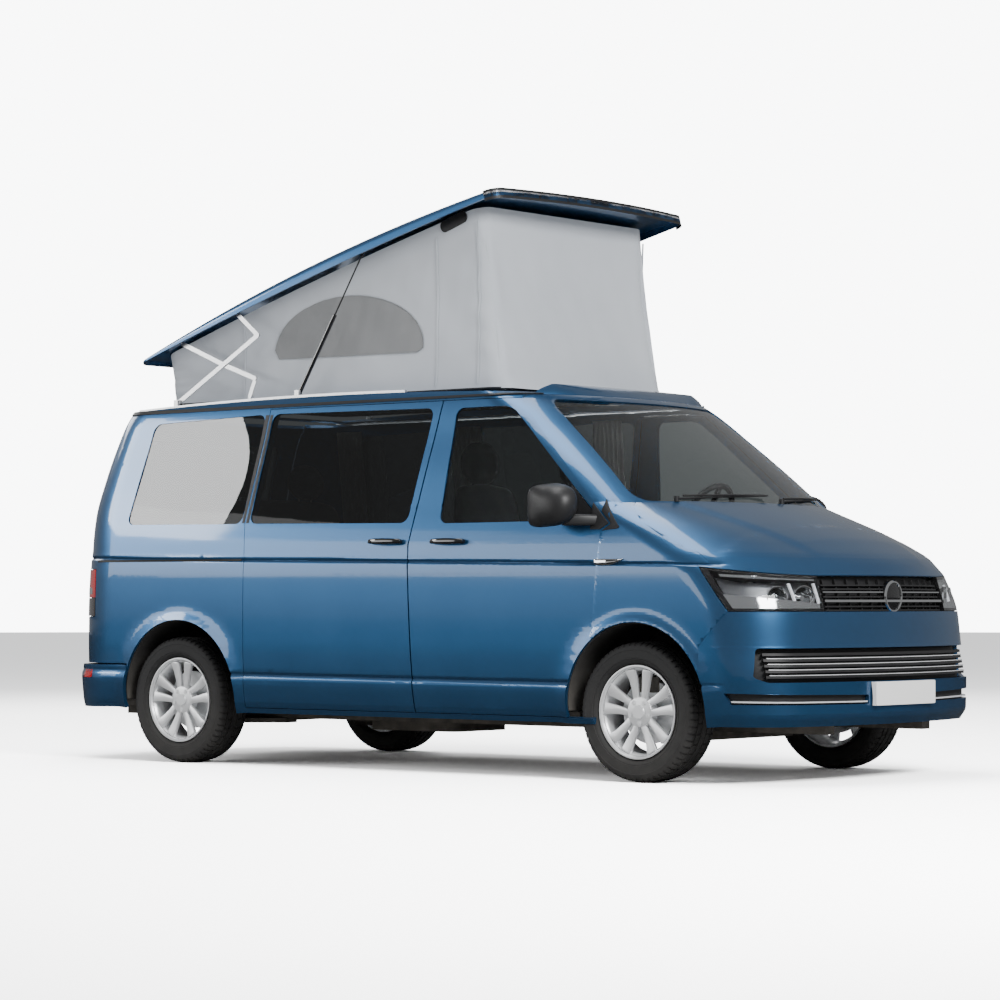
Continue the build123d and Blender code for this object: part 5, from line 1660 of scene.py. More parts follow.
# ------------------------------------------------------------------ lamps and grilles
class FrontEnd:
    """Headlamps, grilles and the trim round them."""

    lamp_outline = (("x", 1.918, 1.007), ("x", 2.298, 0.966), ("y", 0.525, 0.966), ("y", 0.525, 0.803),
                    ("x", 2.083, 0.803))

    def piece(self, plate: SkinPlate, name: str, outer: float, inner: float, look: Finish,
              rim: float = 0.001) -> Object:
        """Build one fixed plate of the front end."""
        obj = finish(plate.build(name, outer, inner, rim), look)
        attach(obj, "body")
        return obj

    def build(self) -> None:
        """Build every front piece."""
        for name, side in SIDES.items():
            self.headlamp(name, side)
        self.upper_grille()
        self.lower_grille()
        self.tail_lamps()
        log.info("lamps and grilles built")

    def headlamp(self, name: str, side: float) -> None:
        """One headlamp: clear lens, dark bucket, two reflector bowls, daylight bars and a bright lower trim."""
        lens = self.piece(SkinPlate().mixed_loop(self.lamp_outline, side, 0.02), f"lamp_lens_{name}", 0.001, 0.0035,
                          LENS)
        if side < 0.0:
            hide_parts("headlamps")
        self.piece(SkinPlate().mixed_loop(self.lamp_outline, side), f"lamp_bucket_{name}", 0.075, 0.080, REFLECTOR,
                   0.0)
        rim_in = [("x", 1.965, 0.992), ("x", 2.290, 0.955), ("y", 0.534, 0.955), ("y", 0.534, 0.816),
                  ("x", 2.100, 0.816)]
        bezel = SkinPlate().mixed_loop(self.lamp_outline, side, 0.02).mixed_loop(rim_in, side, 0.02)
        self.piece(bezel, f"lamp_bezel_{name}", 0.005, 0.074, BLACK_TRIM)
        trim = [("x", 2.030, 0.886), ("y", 0.530, 0.838), ("y", 0.530, 0.810), ("x", 2.074, 0.814)]
        self.piece(SkinPlate().mixed_loop(trim, side), f"lamp_trim_{name}", 0.012, 0.018, CHROME)
        brow = [("x", 2.010, 0.980), ("y", 0.532, 0.952), ("y", 0.532, 0.944), ("x", 2.020, 0.966)]
        self.piece(SkinPlate().mixed_loop(brow, side), f"lamp_brow_{name}", 0.012, 0.020, CHROME)
        for index, (y, z, radius) in enumerate(((0.610, 0.886, 0.056), (0.770, 0.894, 0.052))):
            self.bowl(f"lamp_bowl_{name}_{index + 1}", side, y, z, radius)
        for index, y in enumerate((0.690, 0.548)):
            bar = [("y", y + 0.004, 0.935), ("y", y - 0.007, 0.935), ("y", y - 0.015, 0.842), ("y", y - 0.004, 0.842)]
            self.piece(SkinPlate().mixed_loop(bar, side, 0.01), f"day_light_{name}_{index + 1}", 0.014, 0.024,
                       DAY_LIGHT)

    def bowl(self, name: str, side: float, y: float, z: float, radius: float) -> None:
        """Round reflector with its bulb shield and ring."""
        mesh = bmesh.new()
        profile = [(0.014, 0.010), (0.030, 0.026), (0.040, 0.044), (radius - 0.003, 0.066), (radius, 0.068),
                   (radius + 0.003, 0.066), (radius + 0.001, 0.058), (0.040, 0.030), (0.016, 0.004)]
        verts = [mesh.verts.new((depth, 0.0, r)) for r, depth in profile]
        edges = [mesh.edges.new((a, b)) for a, b in zip(verts, [*verts[1:], verts[0]])]
        ops.spin(mesh, geom=verts + edges, cent=(0, 0, 0), axis=(1, 0, 0), angle=2 * math.pi, steps=48,
                 use_merge=True, use_duplicate=False)
        outward(mesh)
        shield = add_rod(mesh, (0.0, 0, 0), (0.046, 0, 0), 0.017, 32, 0.012)
        for vert in shield:
            for face in vert.link_faces:
                face.material_index = 1
        centre = SKIN.point(SKIN.place_of_y(y, z, True), z, 0.080, side)
        ops.rotate(mesh, verts=mesh.verts[:], cent=(0, 0, 0), matrix=Matrix.Rotation(side * 0.42, 3, "Z"))
        ops.translate(mesh, verts=mesh.verts[:], vec=centre)
        obj = finish(as_object(name, mesh, 35.0), CHROME, LENS)
        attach(obj, "body")

    def band(self, name: str, half: float, low: float, high: float, outer: float, inner: float, look: Finish) -> Object:
        """Horizontal bar across the nose."""
        loop = ((-half, low), (half, low), (half, high), (-half, high))
        return self.piece(SkinPlate().front_loop(loop, 0.02), name, outer, inner, look, 0.0015)

    def upper_grille(self) -> None:
        """Upper grille: dark mesh, slats, bright strips and a bare round disc."""
        back = self.band("grille_back", 0.520, 0.7645, 0.9700, 0.040, 0.046, BLACK_TRIM)
        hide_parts("upper_grille")
        outer = ((-0.520, 0.7645), (0.520, 0.7645), (0.520, 0.9700), (-0.520, 0.9700))
        inner = inset_loop(outer, 0.014)
        self.piece(SkinPlate().front_loop(outer).front_loop(inner), "grille_frame", 0.003, 0.040, GLOSS_BLACK)
        for index, (z, half_z, look) in enumerate(((0.808, 0.0035, BLACK_TRIM), (0.826, 0.0035, BLACK_TRIM),
                                                   (0.872, 0.0035, BLACK_TRIM), (0.908, 0.0035, BLACK_TRIM),
                                                   (0.926, 0.0035, BLACK_TRIM))):
            self.band(f"grille_slat_{index + 1}", 0.506, z - half_z, z + half_z, 0.014, 0.036, look)
        self.band("grille_strip_upper", 0.512, 0.889, 0.895, 0.004, 0.016, CHROME)
        self.band("grille_strip_lower", 0.512, 0.845, 0.856, 0.002, 0.018, CHROME)
        for index in range(25):
            y = -0.48 + 0.04 * index
            loop = ((y - 0.003, 0.782), (y + 0.003, 0.782), (y + 0.003, 0.955), (y - 0.003, 0.955))
            if index % 2 == 0:
                self.piece(SkinPlate().front_loop(loop, 0.05), f"grille_rib_{index + 1}", 0.022, 0.036, BLACK_TRIM,
                           0.0)
        mesh = bmesh.new()
        add_rod(mesh, (2.352, 0, 0.871), (2.384, 0, 0.871), 0.074, 64, 0.070)
        bevel_sharp(mesh, 0.004, 3)
        disc = finish(as_object("bare_disc", mesh), GLOSS_BLACK)
        mesh = bmesh.new()
        profile = [(2.380, 0.062), (2.388, 0.066), (2.388, 0.072), (2.380, 0.076)]
        verts = [mesh.verts.new((x, 0.0, 0.871 + r)) for x, r in profile]
        edges = [mesh.edges.new((a, b)) for a, b in zip(verts, [*verts[1:], verts[0]])]
        ops.spin(mesh, geom=verts + edges, cent=(2.38, 0, 0.871), axis=(1, 0, 0), angle=2 * math.pi, steps=64,
                 use_merge=True, use_duplicate=False)
        outward(mesh)
        ring = finish(as_object("bare_disc_ring", mesh), CHROME)
        for obj, slot in ((disc, "black_plastic"), (ring, "rail")):
            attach(obj, "body")

    def lower_grille(self) -> None:
        """Lower grille: dark recess, bright thin slats and dark ends, and the two slots under it."""
        for name, side in SIDES.items():
            self.piece(SkinPlate().mixed_loop(BUMPER_SLOT, side), f"bumper_slot_back_{name}", 0.0225, 0.030,
                       BLACK_TRIM, 0.0)
            strip = [("y", 0.282, 0.380), ("x", 2.100, 0.385), ("x", 2.096, 0.391), ("y", 0.282, 0.386)]
            self.piece(SkinPlate().mixed_loop(strip, side), f"bumper_slot_strip_{name}", 0.004, 0.022, SATIN)
        back = SkinPlate().front_loop(inset_loop(LOWER_GRILLE, 0.001))
        obj = self.piece(back, "lower_grille_back", 0.046, 0.052, BLACK_TRIM)
        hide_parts("lower_grille")
        ring = SkinPlate().front_loop(inset_loop(LOWER_GRILLE, 0.0008)).front_loop(inset_loop(LOWER_GRILLE, 0.010))
        self.piece(ring, "lower_grille_frame", 0.002, 0.046, GLOSS_BLACK)
        for index, z in enumerate((0.505, 0.531, 0.557, 0.583, 0.609)):
            self.band(f"lower_slat_{index + 1}", 0.862, z - 0.008, z + 0.004, 0.012, 0.040, BLACK_TRIM)
            if index in (0, 1, 2, 3):
                self.band(f"lower_strip_{index + 1}", 0.850, z + 0.0042, z + 0.0072, 0.009, 0.030, SATIN)

    def tail_lamps(self) -> None:
        """Upright tail lamps with an inner clear cell."""
        for name, side in SIDES.items():
            outer = [("y", 0.772, 0.868), ("y", 0.772, 1.018), ("x", -2.073, 1.018), ("x", -2.073, 0.868)]
            lens = self.piece(SkinPlate(End.TAIL).mixed_loop(outer, side, 0.02), f"tail_lens_{name}", -0.002, 0.020,
                              RED_LENS, 0.004)
            if side < 0.0:
                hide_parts("tail_lamps")
            lower = [("y", 0.772, 0.768), ("y", 0.772, 0.866), ("x", -2.073, 0.866), ("x", -2.073, 0.768)]
            self.piece(SkinPlate(End.TAIL).mixed_loop(lower, side, 0.02), f"tail_lens_lower_{name}", -0.002, 0.020,
                       SMOKED_LENS, 0.004)
            cell = [("y", 0.800, 0.885), ("y", 0.800, 0.920), ("x", -2.110, 0.920), ("x", -2.110, 0.885)]
            self.piece(SkinPlate(End.TAIL).mixed_loop(cell, side, 0.02), f"tail_cell_{name}", -0.0028, -0.0015,
                       LENS, 0.0)


# ------------------------------------------------------------------ trim
class Trim:
    """Gutters, seals, handles, mirrors and small fittings."""

    def ride(self, obj: Object, body: str) -> Object:
        """Let a piece ride on a body."""
        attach(obj, body)
        return obj

    def build(self) -> None:
        """Build every fitting."""
        for name, side in SIDES.items():
            self.gutter(name, side)
            self.seal(f"door_seal_{name}", FRONT_DOOR, side)
            self.handle(f"door_handle_{name}", 0.404, 1.138, side, f"front_door_{name}", 1.0)
            self.mirror(name, side)
            self.marker(name, side)
            self.sail(name, side)
            self.reflector(name, side)
            self.pillar_film(name, side)
        self.seal("sliding_door_seal", SLIDING_DOOR, -1.0)
        self.handle("sliding_door_handle", 0.035, 1.142, -1.0, "body", -1.0)
        self.slide_rail()
        self.fairing()
        self.wipers()
        self.plate()
        log.info("trim built")

    def plate_piece(self, plate: SkinPlate, name: str, outer: float, inner: float, look: Finish, body: str,
                    rim: float = 0.001) -> Object:
        """Build one skin-following fitting."""
        return self.ride(finish(plate.build(name, outer, inner, rim), look), body)

    def raised_piece(self, name: str, outline: Sequence[Pair], side: float, low: float, high: float, rim: float,
                     look: Finish, body: str) -> Object:
        """Build a small flat piece that stands on the plain skin.

        Args:
            name: Name of the piece.
            outline: Outline in X and Z.
            side: 1 for left, -1 for right.
            low: Distance of its inner face outside the plain skin.
            high: Distance of its outer face outside the plain skin.
            rim: Rounding of its edges.
            look: Its finish.
            body: Body that it rides on.

        Returns:
            The piece.
        """
        mesh = bmesh.new()
        prism(mesh, [(x, low, z) for x, z in fine_loop(outline, 0.02)], (0.0, high - low, 0.0))
        outward(mesh)
        bevel_sharp(mesh, rim, 3)
        for vert in mesh.verts:
            x, out, z = vert.co
            vert.co.y = side * (SKIN.flat_point(SKIN.place_of_x(x, z), z)[1] + out)
        ops.recalc_face_normals(mesh, faces=mesh.faces[:])
        return self.ride(finish(as_object(name, mesh, 35.0), look), body)

    def gutter(self, name: str, side: float) -> None:
        """Black gutter rail along the cantrail."""
        outline = [(-1.930, 1.8440), (0.600, 1.8520), (0.800, 1.8600), (0.800, 1.8618), (-1.930, 1.8618)]
        self.plate_piece(SkinPlate().side_loop(outline, side), f"gutter_{name}", -0.007, 0.002, BLACK_TRIM, "body",
                         0.002)

    def seal(self, name: str, outline: Sequence[Pair], side: float) -> None:
        """Rubber seal and painted rebate behind a door's edge."""
        arch = SKIN.arch_places[0]
        outer = cut_arch(inset_loop(outline, -0.006), arch, SKIN.arch_radius + 0.004)
        inner = cut_arch(inset_loop(outline, 0.030), arch, SKIN.arch_radius + 0.034)
        ring = SkinPlate().side_loop(outer, side).side_loop(inner, side)
        self.plate_piece(ring, name, 0.0235, 0.032, JAMB, "body", 0.0)
        outer = cut_arch(inset_loop(outline, 0.002), arch, SKIN.arch_radius + 0.010)
        inner = cut_arch(rounded(inset_loop(outline, 0.046), 0.03, 4), arch, SKIN.arch_radius + 0.050)
        ring = SkinPlate().side_loop(outer, side).side_loop(inner, side)
        self.plate_piece(ring, f"{name}_rebate", 0.033, 0.075, PAINT, "body", 0.002)

    def handle(self, name: str, x: float, z: float, side: float, body: str, lean: float) -> None:
        """Bar handle over a dished cup."""
        mesh = bmesh.new()
        steps = 36
        ring = [(x + 0.056 * math.cos(2 * math.pi * i / steps), z + 0.036 * math.sin(2 * math.pi * i / steps))
                for i in range(steps)]
        cup = SkinPlate().side_loop(ring, side, 0.02).side_loop(inset_loop(ring, 0.004), side, 0.02)
        self.plate_piece(cup, f"{name}_cup", -0.0012, 0.001, PAINT, body, 0.0008)
        mesh.free()
        mesh = bmesh.new()
        verts = add_box(mesh, (-0.105, -0.013, -0.015), (0.105, 0.013, 0.015))
        del verts
        ops.subdivide_edges(mesh, edges=[e for e in mesh.edges if abs((e.verts[0].co - e.verts[1].co).x) > 0.1],
                            cuts=14, use_grid_fill=True)
        for vert in mesh.verts:
            share = vert.co.x / 0.105
            vert.co.y += -side * 0.016 * share ** 4
            vert.co.z *= 1.0 - 0.3 * share ** 2
        outward(mesh)
        bevel_sharp(mesh, 0.006, 3)
        surface = SKIN.point(SKIN.place_of_x(x, z), z, -0.030, side)
        tilt = Matrix.Rotation(side * 0.06, 3, "X")
        ops.rotate(mesh, verts=mesh.verts[:], cent=(0, 0, 0), matrix=tilt)
        ops.translate(mesh, verts=mesh.verts[:], vec=surface + Vector((0.018 * lean, 0.0, 0.0)))
        for foot in (-0.075, 0.075):
            at = surface + Vector((foot + 0.018 * lean, 0.0, 0.0))
            add_rod(mesh, at + Vector((0, side * 0.004, 0)), at - Vector((0, side * 0.034, 0)), 0.011, 20, 0.014)
        self.ride(finish(as_object(name, mesh, 35.0), GLOSS_BLACK), body)

    def mirror(self, name: str, side: float) -> None:
        """Door mirror: shaped housing, glossy lower shell, glass and arm."""
        body = f"front_door_{name}"
        centre = Vector((1.135, side * 1.043, 1.303))
        turn = Matrix.Rotation(side * math.radians(16.0), 3, "Z")
        mesh = bmesh.new()
        ops.create_cube(mesh, size=2.0)
        ops.subdivide_edges(mesh, edges=mesh.edges[:], cuts=7, use_grid_fill=True)
        for vert in mesh.verts:
            u, v, w = vert.co
            power = 2.5 if u > 0.0 else 4.5
            share = max(abs(u), abs(v), abs(w)) / (abs(u) ** power + abs(v) ** power + abs(w) ** power) ** (1 / power)
            vert.co = Vector((u * share * (0.165 if u > 0.0 else 0.090), v * share * 0.090, w * share * 0.1015))
            vert.co.z -= 0.010 * side * v * share
            vert.co.x = max(vert.co.x, -0.074)
        outward(mesh)
        for face in mesh.faces:
            if face.calc_center_median().z < -0.052:
                face.material_index = 1
        glass_face = [f for f in mesh.faces if f.normal.x < -0.9]
        ops.inset_region(mesh, faces=glass_face, thickness=0.012, use_even_offset=True)
        ops.translate(mesh, verts=list({v for f in glass_face for v in f.verts}), vec=(0.014, 0.0, 0.0))
        for face in glass_face:
            face.material_index = 2
        ops.rotate(mesh, verts=mesh.verts[:], cent=(0, 0, 0), matrix=turn)
        ops.translate(mesh, verts=mesh.verts[:], vec=centre)
        housing = finish(as_object(f"mirror_housing_{name}", mesh, 35.0), BLACK_TRIM, GLOSS_BLACK, CHROME)
        self.ride(housing, body)
        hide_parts(f"mirror_{name}")
        mesh = bmesh.new()
        outline = [(1.345, 0.893), (1.235, 0.903), (1.155, 0.985), (1.210, 1.040), (1.290, 0.975)]
        prism(mesh, [(x, side * y, 1.206) for x, y in outline], (0.0, 0.0, 0.052))
        outward(mesh)
        bevel_sharp(mesh, 0.012, 3)
        self.ride(finish(as_object(f"mirror_arm_{name}", mesh, 35.0), BLACK_TRIM), body)

    def reflector(self, name: str, side: float) -> None:
        """Red reflector at the rear bumper's corner, with a faint painted glow from the red lens finish, though it is
        no lamp.
        """
        outline = [(-2.160, 0.440), (-2.072, 0.442), (-2.072, 0.482), (-2.160, 0.484)]
        plate = SkinPlate(End.TAIL).side_loop(rounded(outline, 0.008, 3), side, 0.02)
        lens = plate.build(f"reflector_{name}", -0.003, 0.004, 0.001, 0, bumper_swell)
        # Painted glow: the red lens finish emits faintly, so this reflector glows though it is no lamp.
        self.ride(finish(lens, RED_LENS), "body")

    def pillar_film(self, name: str, side: float) -> None:
        """Black film on the pillar between the quarter and middle windows."""
        foot, head = 1.251, 1.811
        if side > 0.0:
            parts = {"body": (-0.989, -0.941, -0.844, -0.896)}
        else:
            parts = {"body": (-0.989, -0.9715, -0.8705, -0.896), "door": (-0.9600, -0.941, -0.844, -0.8630)}
        for part, (x0, x1, x2, x3) in parts.items():
            film = [(x0, foot), (x1, foot), (x2, head), (x3, head)]
            self.plate_piece(SkinPlate().side_loop(film, side, 0.03), f"pillar_film_{part}_{name}", -0.0012, 0.0012,
                             BLACK_TRIM, "body", 0.0)

    def fairing(self) -> None:
        """Painted hump across the roof's front, just ahead of the closed roof's lip."""
        mesh = bmesh.new()
        section = [(0.0, 1.872), (0.0, 1.907), (0.05, 1.914), (0.15, 1.917), (0.38, 1.908), (0.70, 1.888),
                   (1.0, 1.8625), (1.0, 1.850), (0.0, 1.850)]
        half, steps, foot = 0.705, 60, 1.862
        face = flat_face(mesh, [(u, -half, z) for u, z in section])
        made = ops.extrude_face_region(mesh, geom=[face], use_keep_orig=True)["geom"]
        ops.translate(mesh, verts=[v for v in made if isinstance(v, BMVert)],
                      vec=(0.0, 2.0 * half, 0.0))
        for i in range(1, steps):
            ops.bisect_plane(mesh, geom=mesh.verts[:] + mesh.edges[:] + mesh.faces[:], dist=1e-6,
                             plane_co=(0.0, -half + 2.0 * half * i / steps, 0.0), plane_no=(0, 1, 0))
        for vert in mesh.verts:
            u, y, z = vert.co
            front = SKIN.flat_point(SKIN.place_of_y(y, foot, True), foot)[0]
            rear = POP_TOP.front_x + POP_TOP.bulge * (1.0 - (y / POP_TOP.half) ** 2) + 0.025
            share = min(1.0, max(0.0, (front - rear) / 0.05))
            vert.co.x = rear + u * (front - rear)
            vert.co.z = 1.850 + (z - 1.850) * (0.15 + 0.85 * share)
        outward(mesh)
        self.ride(finish(as_object("roof_fairing", mesh, 40.0), PAINT), "body")

    def marker(self, name: str, side: float) -> None:
        """Bright side blade with a dark tip on the wing."""
        blade = [(1.328, 1.047), (1.328, 1.023), (1.372, 1.015), (1.420, 1.019), (1.462, 1.030), (1.500, 1.047)]
        self.raised_piece(f"side_blade_{name}", blade, side, -0.012, 0.0055, 0.002, CHROME, "body")
        tip = [(1.398, 1.043), (1.392, 1.021), (1.422, 1.0235), (1.458, 1.033), (1.486, 1.043)]
        self.raised_piece(f"side_blade_tip_{name}", tip, side, 0.004, 0.0075, 0.001, GLOSS_BLACK, "body")

    def sail(self, name: str, side: float) -> None:
        """Black corner patches at the foot of the windscreen pillar."""
        patch = [(1.348, 1.331), (1.459, 1.198), (1.452, 1.190), (1.361, 1.182), (1.407, 1.2115), (1.405, 1.2190),
                 (1.348, 1.2750)]
        self.raised_piece(f"pillar_patch_{name}", patch, side, -0.016, 0.003, 0.001, BLACK_TRIM, "body")
        patch = [(1.290, 1.188), (1.347, 1.188), (1.396, 1.2160), (1.343, 1.2665), (1.290, 1.3160)]
        self.raised_piece(f"door_corner_patch_{name}", patch, side, -0.016, 0.003, 0.001, BLACK_TRIM,
                          f"front_door_{name}")
        corner = [(1.150, 1.236), (1.336, 1.236), (1.150, 1.405)]
        self.plate_piece(SkinPlate().side_loop(rounded(corner, 0.006, 2), side, 0.02), f"window_sail_{name}", 0.001,
                         0.005, BLACK_TRIM, f"front_door_{name}", 0.0005)

    def slide_rail(self) -> None:
        """Black strip on the skin: painted shade in place of the shaded slot of the sliding door's middle rail."""
        # Painted shade: a flat strip in the seal's black lies on the skin where the real slot is a gap dark with shade.
        slot = [(-2.050, 1.056), (-0.972, 1.054), (-0.972, 1.066), (-2.050, 1.068)]
        self.plate_piece(SkinPlate(End.TAIL).side_loop(slot, -1.0), "rail_slot_painted_shade", -0.0015, 0.001, JAMB, "body",
                         0.0)

    def wipers(self) -> None:
        """Two wiper arms with blades on the windscreen's foot."""
        for index, (y0, y1) in enumerate(((0.10, 0.70), (-0.62, 0.02))):
            mesh = bmesh.new()
            low = SKIN.point(SKIN.place_of_y(y0, 1.326, True), 1.326, -0.012, math.copysign(1.0, y0))
            high = SKIN.point(SKIN.place_of_y(y1, 1.352, True), 1.352, -0.014, math.copysign(1.0, y1))
            add_rod(mesh, low, high, 0.006, 12, 0.004)
            start = SKIN.point(SKIN.place_of_y(y0 + 0.06, 1.345, True), 1.345, -0.008, 1.0 if y0 + 0.06 > 0 else -1.0)
            end = SKIN.point(SKIN.place_of_y(y1 - 0.01, 1.358, True), 1.358, -0.008, 1.0 if y1 > 0.01 else -1.0)
            middle = SKIN.point(SKIN.place_of_y((y0 + y1) / 2, 1.352, True), 1.352, -0.009,
                                math.copysign(1.0, (y0 + y1) / 2))
            add_rod(mesh, start, middle, 0.005, 10)
            add_rod(mesh, middle, end, 0.005, 10)
            add_rod(mesh, low - Vector((0.0, 0.0, 0.012)), low + Vector((0.0, 0.0, 0.012)), 0.013, 20)
            self.ride(finish(as_object(f"wiper_{index + 1}", mesh, 40.0), BLACK_TRIM), "body")

    def plate(self) -> None:
        """Thin dark frame round the bare number plate."""
        mesh = bmesh.new()
        outer = [(2.4518, y, z) for y, z in rounded(((-0.2598, 0.3632), (0.2598, 0.3632), (0.2598, 0.4728),
                                                     (-0.2598, 0.4728)), 0.008, 4)]
        face = prism(mesh, outer, (-0.003, 0.0, 0.0))
        ops.inset_region(mesh, faces=[face], thickness=0.0035, use_even_offset=True)
        ops.delete(mesh, geom=[face], context="FACES")
        outward(mesh)
        self.ride(finish(as_object("plate_frame", mesh, 40.0), GLOSS_BLACK), "body")


# ------------------------------------------------------------------ interior
@dataclass
class Cabin:
    """Seats, head restraints, bench and curtains."""

    def build(self) -> None:
        """Build the soft pieces of the cabin."""
        for name, y in (("right", -0.400), ("left", 0.400)):
            self.chair(f"front_seat_{name}", y, 0.25, 0.230, 0.300)
        self.bench()
        self.curtains()
        log.info("cabin built")

    def cushion(self, name: str, low: Sequence[float], high: Sequence[float], lean: float = 0.0,
                crown: float = 0.018, channels: int = 2) -> Object:
        """Padded block with pulled-in sides and sewn channels.

        Args:
            name: Name of the piece.
            low: Lowest corner.
            high: Highest corner.
            lean: Backward shift of the top for each metre of height.
            crown: How far the middle of each face swells.
            channels: Number of sewn channels across.

        Returns:
            The cushion.
        """
        mesh = bmesh.new()
        add_box(mesh, low, high)
        ops.subdivide_edges(mesh, edges=mesh.edges[:], cuts=7, use_grid_fill=True)
        centre = Vector([(a + b) / 2.0 for a, b in zip(low, high)])
        size = Vector([(b - a) / 2.0 for a, b in zip(low, high)])
        for vert in mesh.verts:
            share = [(vert.co[i] - centre[i]) / size[i] for i in range(3)]
            move = Vector((0.0, 0.0, 0.0))
            for axis in range(3):
                others = [share[i] for i in range(3) if i != axis]
                swell = (1.0 - others[0] ** 2) * (1.0 - others[1] ** 2)
                move[axis] = share[axis] * (crown * swell - 0.016 * sum(o ** 6 for o in others))
            for k in range(channels):
                at = -0.55 + 1.1 * k / max(channels - 1, 1)
                pull = math.exp(-((share[1] - at) / 0.07) ** 2)
                move.x -= 0.012 * pull * share[0]
                move.z -= 0.012 * pull * share[2]
            vert.co += move
            vert.co.x -= lean * (vert.co.z - low[2])
        outward(mesh)
        obj = finish(as_object(name, mesh, 70.0), CUSHION_CLOTH)
        smooth = obj.modifiers.new("round", "SUBSURF")
        smooth.levels = smooth.render_levels = 1
        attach(obj, "body")
        return obj

    def chair(self, name: str, y: float, half: float, back_x: float, cushion_x: float) -> None:
        """One front seat."""
        base = self.cushion(f"{name}_cushion", (cushion_x + 0.01, y - half, 0.655), (0.815, y + half, 0.785))
        self.cushion(f"{name}_back", (back_x + 0.005, y - half + 0.02, 0.780), (0.345, y + half - 0.02, 1.425),
                     0.135)
        self.cushion(f"{name}_head", (0.140, y - 0.125, 1.455), (0.222, y + 0.125, 1.635), 0.03, 0.02, 0)
        mesh = bmesh.new()
        for dy in (-0.05, 0.05):
            add_rod(mesh, (0.172, y + dy, 1.400), (0.180, y + dy, 1.480), 0.006, 16)
        box = add_box(mesh, (0.350, y - 0.20, 0.323), (0.740, y + 0.20, 0.652))
        del box
        frame_obj = finish(as_object(f"{name}_frame", mesh, 35.0), DASH)
        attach(frame_obj, "body")
        if name.endswith("right"):
            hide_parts("front_seats")

    def bench(self) -> None:
        """Rear bench."""
        base = self.cushion("bench_cushion", (-1.490, -0.455, 0.640), (-0.930, 0.445, 0.765), 0.0, 0.014, 3)
        self.cushion("bench_back", (-1.560, -0.455, 0.765), (-1.445, 0.445, 1.395), 0.10, 0.014, 3)
        for index, y in enumerate((-0.240, 0.230)):
            self.cushion(f"bench_head_{index + 1}", (-1.635, y - 0.125, 1.425), (-1.555, y + 0.125, 1.585), 0.03,
                         0.018, 0)
        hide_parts("rear_bench")
        mesh = bmesh.new()
        add_box(mesh, (-1.490, -0.45, 0.323), (-0.985, 0.435, 0.638))
        for y in (-0.240, 0.230):
            for dy in (-0.05, 0.05):
                add_rod(mesh, (-1.606, y + dy, 1.370), (-1.598, y + dy, 1.440), 0.006, 16)
        bevel_sharp(mesh, 0.006)
        box = finish(as_object("bench_box", mesh, 35.0), FURNITURE)
        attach(box, "body")

    def curtains(self) -> None:
        """Gathered curtains tied back beside the left windows."""
        for index, (x0, x1) in enumerate(((-0.985, -0.760), (0.020, 0.215), (-1.830, -1.640))):
            mesh = bmesh.new()
            columns, rows = 64, 12
            width = x1 - x0
            ops.create_grid(mesh, x_segments=columns, y_segments=rows, size=0.5)
            for vert in mesh.verts:
                u, w = vert.co.x + 0.5, vert.co.y + 0.5
                vert.co = Vector(self.curtain_point(x0, width, u, w))
            ops.recalc_face_normals(mesh, faces=mesh.faces[:])
            area = sum(f.calc_area() for f in mesh.faces)
            cloth = finish(as_object(f"curtain_{index + 1}", mesh, 70.0), CURTAIN)
            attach(cloth, "body")

    def curtain_point(self, x0: float, width: float, u: float, w: float) -> tuple[float, float, float]:
        """Point of a pleated curtain.

        Args:
            x0: Rear edge of the gathered curtain.
            width: Gathered width.
            u: Share across.
            w: Share from the foot up.

        Returns:
            The point in the row frame.
        """
        z = 1.240 + 0.575 * w
        y = 0.812 - 0.068 * (z - 1.24) / 0.575
        return x0 + width * u, y + 0.012 * math.sin(u * 2 * math.pi * 7.0), z


